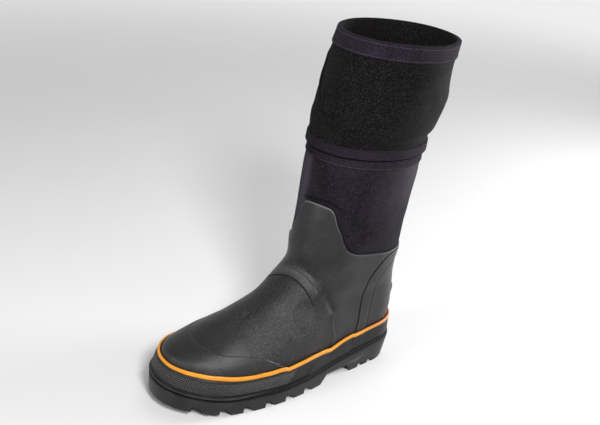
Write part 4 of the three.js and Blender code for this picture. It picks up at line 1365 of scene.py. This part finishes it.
def makeTape(name, pointAt, low, high, wall):
    rows = [(0, -0.15), (0, 0.6), (0.4, 0.95), (1, 1), (0.5, 1)]
    rows += [(-near, lift) for near, lift in rows[3::-1]]
    rows.insert(5, (0.5, 1))

    def place(s, k):
        near, lift = np.array(rows)[k].T
        at = np.where(k < 4, low + near, np.where(k < 6, lerp(low, high, 0.34 * (k - 3)), high + near))
        outward = gap * 0.5 + wall * lift
        return pointAt(at, s, outward), {}

    return gridPiece(name, 300, len(rows), place, uvSize=(380, 30))


def onSock(level, place, outward):
    return onForm(boot, level, place, sockOut + sockRelief(level, place) + outward)


def onLeg(high, place, outward):
    return legPoint(high, place, outward + legRelief(high, place))


tapes = {
    "shaftDrop": 16, "shaftHigh": 10, "shaftWall": 1.2, "legHigh": 11, "legWall": 1.4,
    "hemHigh": 18, "hemWall": 1.6, "shaftStitches": 8.6, "hemStitches": (16, 3), "stitchSink": 0.1,
}
wear(makeLeg(), legCloth, "leg_neoprene", "leg")
shaftHigh = boot["top"] - tapes["shaftDrop"]
legFull = leg["overlap"] + cuff["top"]
tapeRows = table(
    "name pointAt low high wall nodes",
    ("shaft_tape_cloth", onSock, shaftHigh - tapes["shaftHigh"], shaftHigh, tapes["shaftWall"], "shaft_tape"),
    ("leg_tape_cloth", onLeg, 0, tapes["legHigh"], tapes["legWall"], "leg_tape"),
    ("leg_hem_cloth", onLeg, legFull - tapes["hemHigh"], legFull, tapes["hemWall"], "leg_hem"),
)
for row in tapeRows:
    node = row.pop("nodes")
    wear(makeTape(**row), tapeCloth, "seam_tape", node)


# A row of thread stitches round the boot
def stitches(name, pointAt, at, out, pitch=3.2, length=2.2, thick=0.55):
    fine = np.linspace(0, 1, 1201)
    path = pointAt(np.full(len(fine), float(at)), fine, np.full(len(fine), 0.2) + out)
    run = lengthAlong(path)
    bm = bmesh.new()
    for start in np.arange(0, run[-1] - pitch / 2, pitch):
        ends = [np.array([np.interp(x, run, path[:, k]) for k in range(3)]) for x in (start, start + length)]
        way = Vector(ends[1] - ends[0])
        turn = way.to_track_quat("X", "Z").to_matrix().to_4x4()
        size = Matrix.Diagonal((way.length / 2 * mm, thick / 2 * mm, thick / 2 * mm, 1))
        spot = Matrix.Translation(Vector((ends[0] + ends[1]) / 2) * mm)
        bmesh.ops.create_uvsphere(bm, u_segments=6, v_segments=5, radius=1, matrix=spot @ turn @ size)
    bmesh.ops.recalc_face_normals(bm, faces=bm.faces)
    return finishMesh(name, bm)


shaftTop, hemTop = (tapes[wall] + gap * 0.5 - tapes["stitchSink"] for wall in ("shaftWall", "hemWall"))
hemLow, hemHigh = tapes["hemStitches"]
stitchRows = table(
    "name pointAt at out",
    ("shaft_stitches_low", onSock, shaftHigh - tapes["shaftStitches"], shaftTop),
    ("hem_stitches_low", onLeg, legFull - hemLow, hemTop),
    ("hem_stitches_high", onLeg, legFull - hemHigh, hemTop),
)
for row in stitchRows:
    wear(stitches(**row), threadCloth, "seam_tape")
print("leg and tapes made")

# Floor, light and camera
stage = {
    "reach": 4.5, "bend": 1.2, "high": 2.4, "glow": 0.62, "world": 0.05,
    "dark": (0.45, 0.45, 0.45), "light": (0.48, 0.48, 0.48),
}
lights = table(
    "name place aim size power",
    ("key", (1.03, -0.48, 1.13), (0, -0.1, 0.1), 0.4, 34),
    ("front", (-0.1, -1.6, 0.8), (0, -0.1, 0.12), 0.5, 14),
    ("top", (-0.5, 0.5, 1.7), (0, 0, 0.1), 1.4, 14),
    ("rim", (0.42, 1.25, 0.42), (0, 0, 0.1), 0.5, 31),
)
# Angles in degrees. The focal length and the width are in pixels.
photo = {
    "place": (0.657, -0.654, 0.583), "yaw": 55.64, "pitch": 27.31, "roll": 5.26, "pan": 5.2, "tilt": 2.85,
    "focal": 845, "wide": 600, "sensor": 36,
}


# A round floor that bends up into a backdrop
def makeFloor():
    material, tree, shader = newMaterial("pale_floor", Roughness=0.9, Emission_Strength=stage["glow"])
    where = addNode(tree, "ShaderNodeTexCoord").outputs["Object"]
    colour = mixColour(tree, noise(tree, where, 3, 2), stage["dark"], stage["light"])
    away = addNode(tree, "ShaderNodeVectorMath", {0: where}, operation="LENGTH").outputs["Value"]
    tree.links.new(colour, shader.inputs["Base Color"])
    glow = mixColour(tree, ramp(tree, away, 0.6, 3), (0, 0, 0), (1, 1, 1))
    tree.links.new(glow, shader.inputs["Emission Color"])
    bend, reach = stage["bend"], stage["reach"]
    turns = [math.radians(x) for x in (0, 15, 30, 45, 60, 75, 90)]
    profile = [(0, 0), (reach - bend, 0)]
    profile += [(reach - bend + bend * math.sin(a), bend - bend * math.cos(a)) for a in turns[1:]]
    profile.append((reach, stage["high"]))
    bm = bmesh.new()
    verts = [bm.verts.new((x, 0, z)) for x, z in profile]
    edges = [bm.edges.new(pair) for pair in zip(verts, verts[1:])]
    bmesh.ops.spin(
        bm, geom=verts + edges, cent=(0, 0, 0), axis=(0, 0, 1), angle=2 * math.pi, steps=64, use_merge=True
    )
    bmesh.ops.remove_doubles(bm, verts=bm.verts, dist=0.0001)
    bmesh.ops.recalc_face_normals(bm, faces=bm.faces)
    bm.normal_update()
    if sum(face.normal.z * face.calc_area() for face in bm.faces) < 0:
        bmesh.ops.reverse_faces(bm, faces=bm.faces)
    floor = finishMesh("floor", bm)
    floor.data.materials.append(material)


def softLight(name, place, aim, size, power):
    light = bpy.data.lights.new(name, "AREA")
    light.shape, light.size, light.energy = "DISK", size, power
    lamp = bpy.data.objects.new(name, light)
    lamp.location = place
    lamp.rotation_mode = "QUATERNION"
    lamp.rotation_quaternion = (Vector(place) - Vector(aim)).to_track_quat("Z", "Y")
    bpy.context.scene.collection.objects.link(lamp)


def makeCamera():
    yaw, pitch, roll = (math.radians(photo[key]) for key in ("yaw", "pitch", "roll"))
    back = Vector((math.sin(yaw) * math.cos(pitch), -math.cos(yaw) * math.cos(pitch), math.sin(pitch)))
    level = Vector((math.cos(yaw), math.sin(yaw), 0))
    upright = back.cross(level)
    right = level * math.cos(roll) + upright * math.sin(roll)
    up = upright * math.cos(roll) - level * math.sin(roll)
    pan = Matrix.Rotation(math.radians(-photo["pan"]), 3, up)
    right, back = pan @ right, pan @ back
    tilt = Matrix.Rotation(math.radians(photo["tilt"]), 3, right)
    up, back = tilt @ up, tilt @ back
    data = bpy.data.cameras.new("camera")
    data.sensor_width = photo["sensor"]
    data.lens = photo["focal"] / photo["wide"] * photo["sensor"]
    camera = bpy.data.objects.new("camera", data)
    camera.matrix_world = Matrix.Translation(photo["place"]) @ Matrix((right, up, back)).transposed().to_4x4()
    bpy.context.scene.collection.objects.link(camera)
    bpy.context.scene.camera = camera


makeFloor()
makeCamera()
world = bpy.data.worlds.new("studio")
world.use_nodes = True
world.node_tree.nodes["Background"].inputs["Color"].default_value = (1, 1, 1, 1)
world.node_tree.nodes["Background"].inputs["Strength"].default_value = stage["world"]
bpy.context.scene.world = world
bpy.context.scene.view_settings.view_transform = "Standard"
for values in lights:
    softLight(**values)

print("scene made")
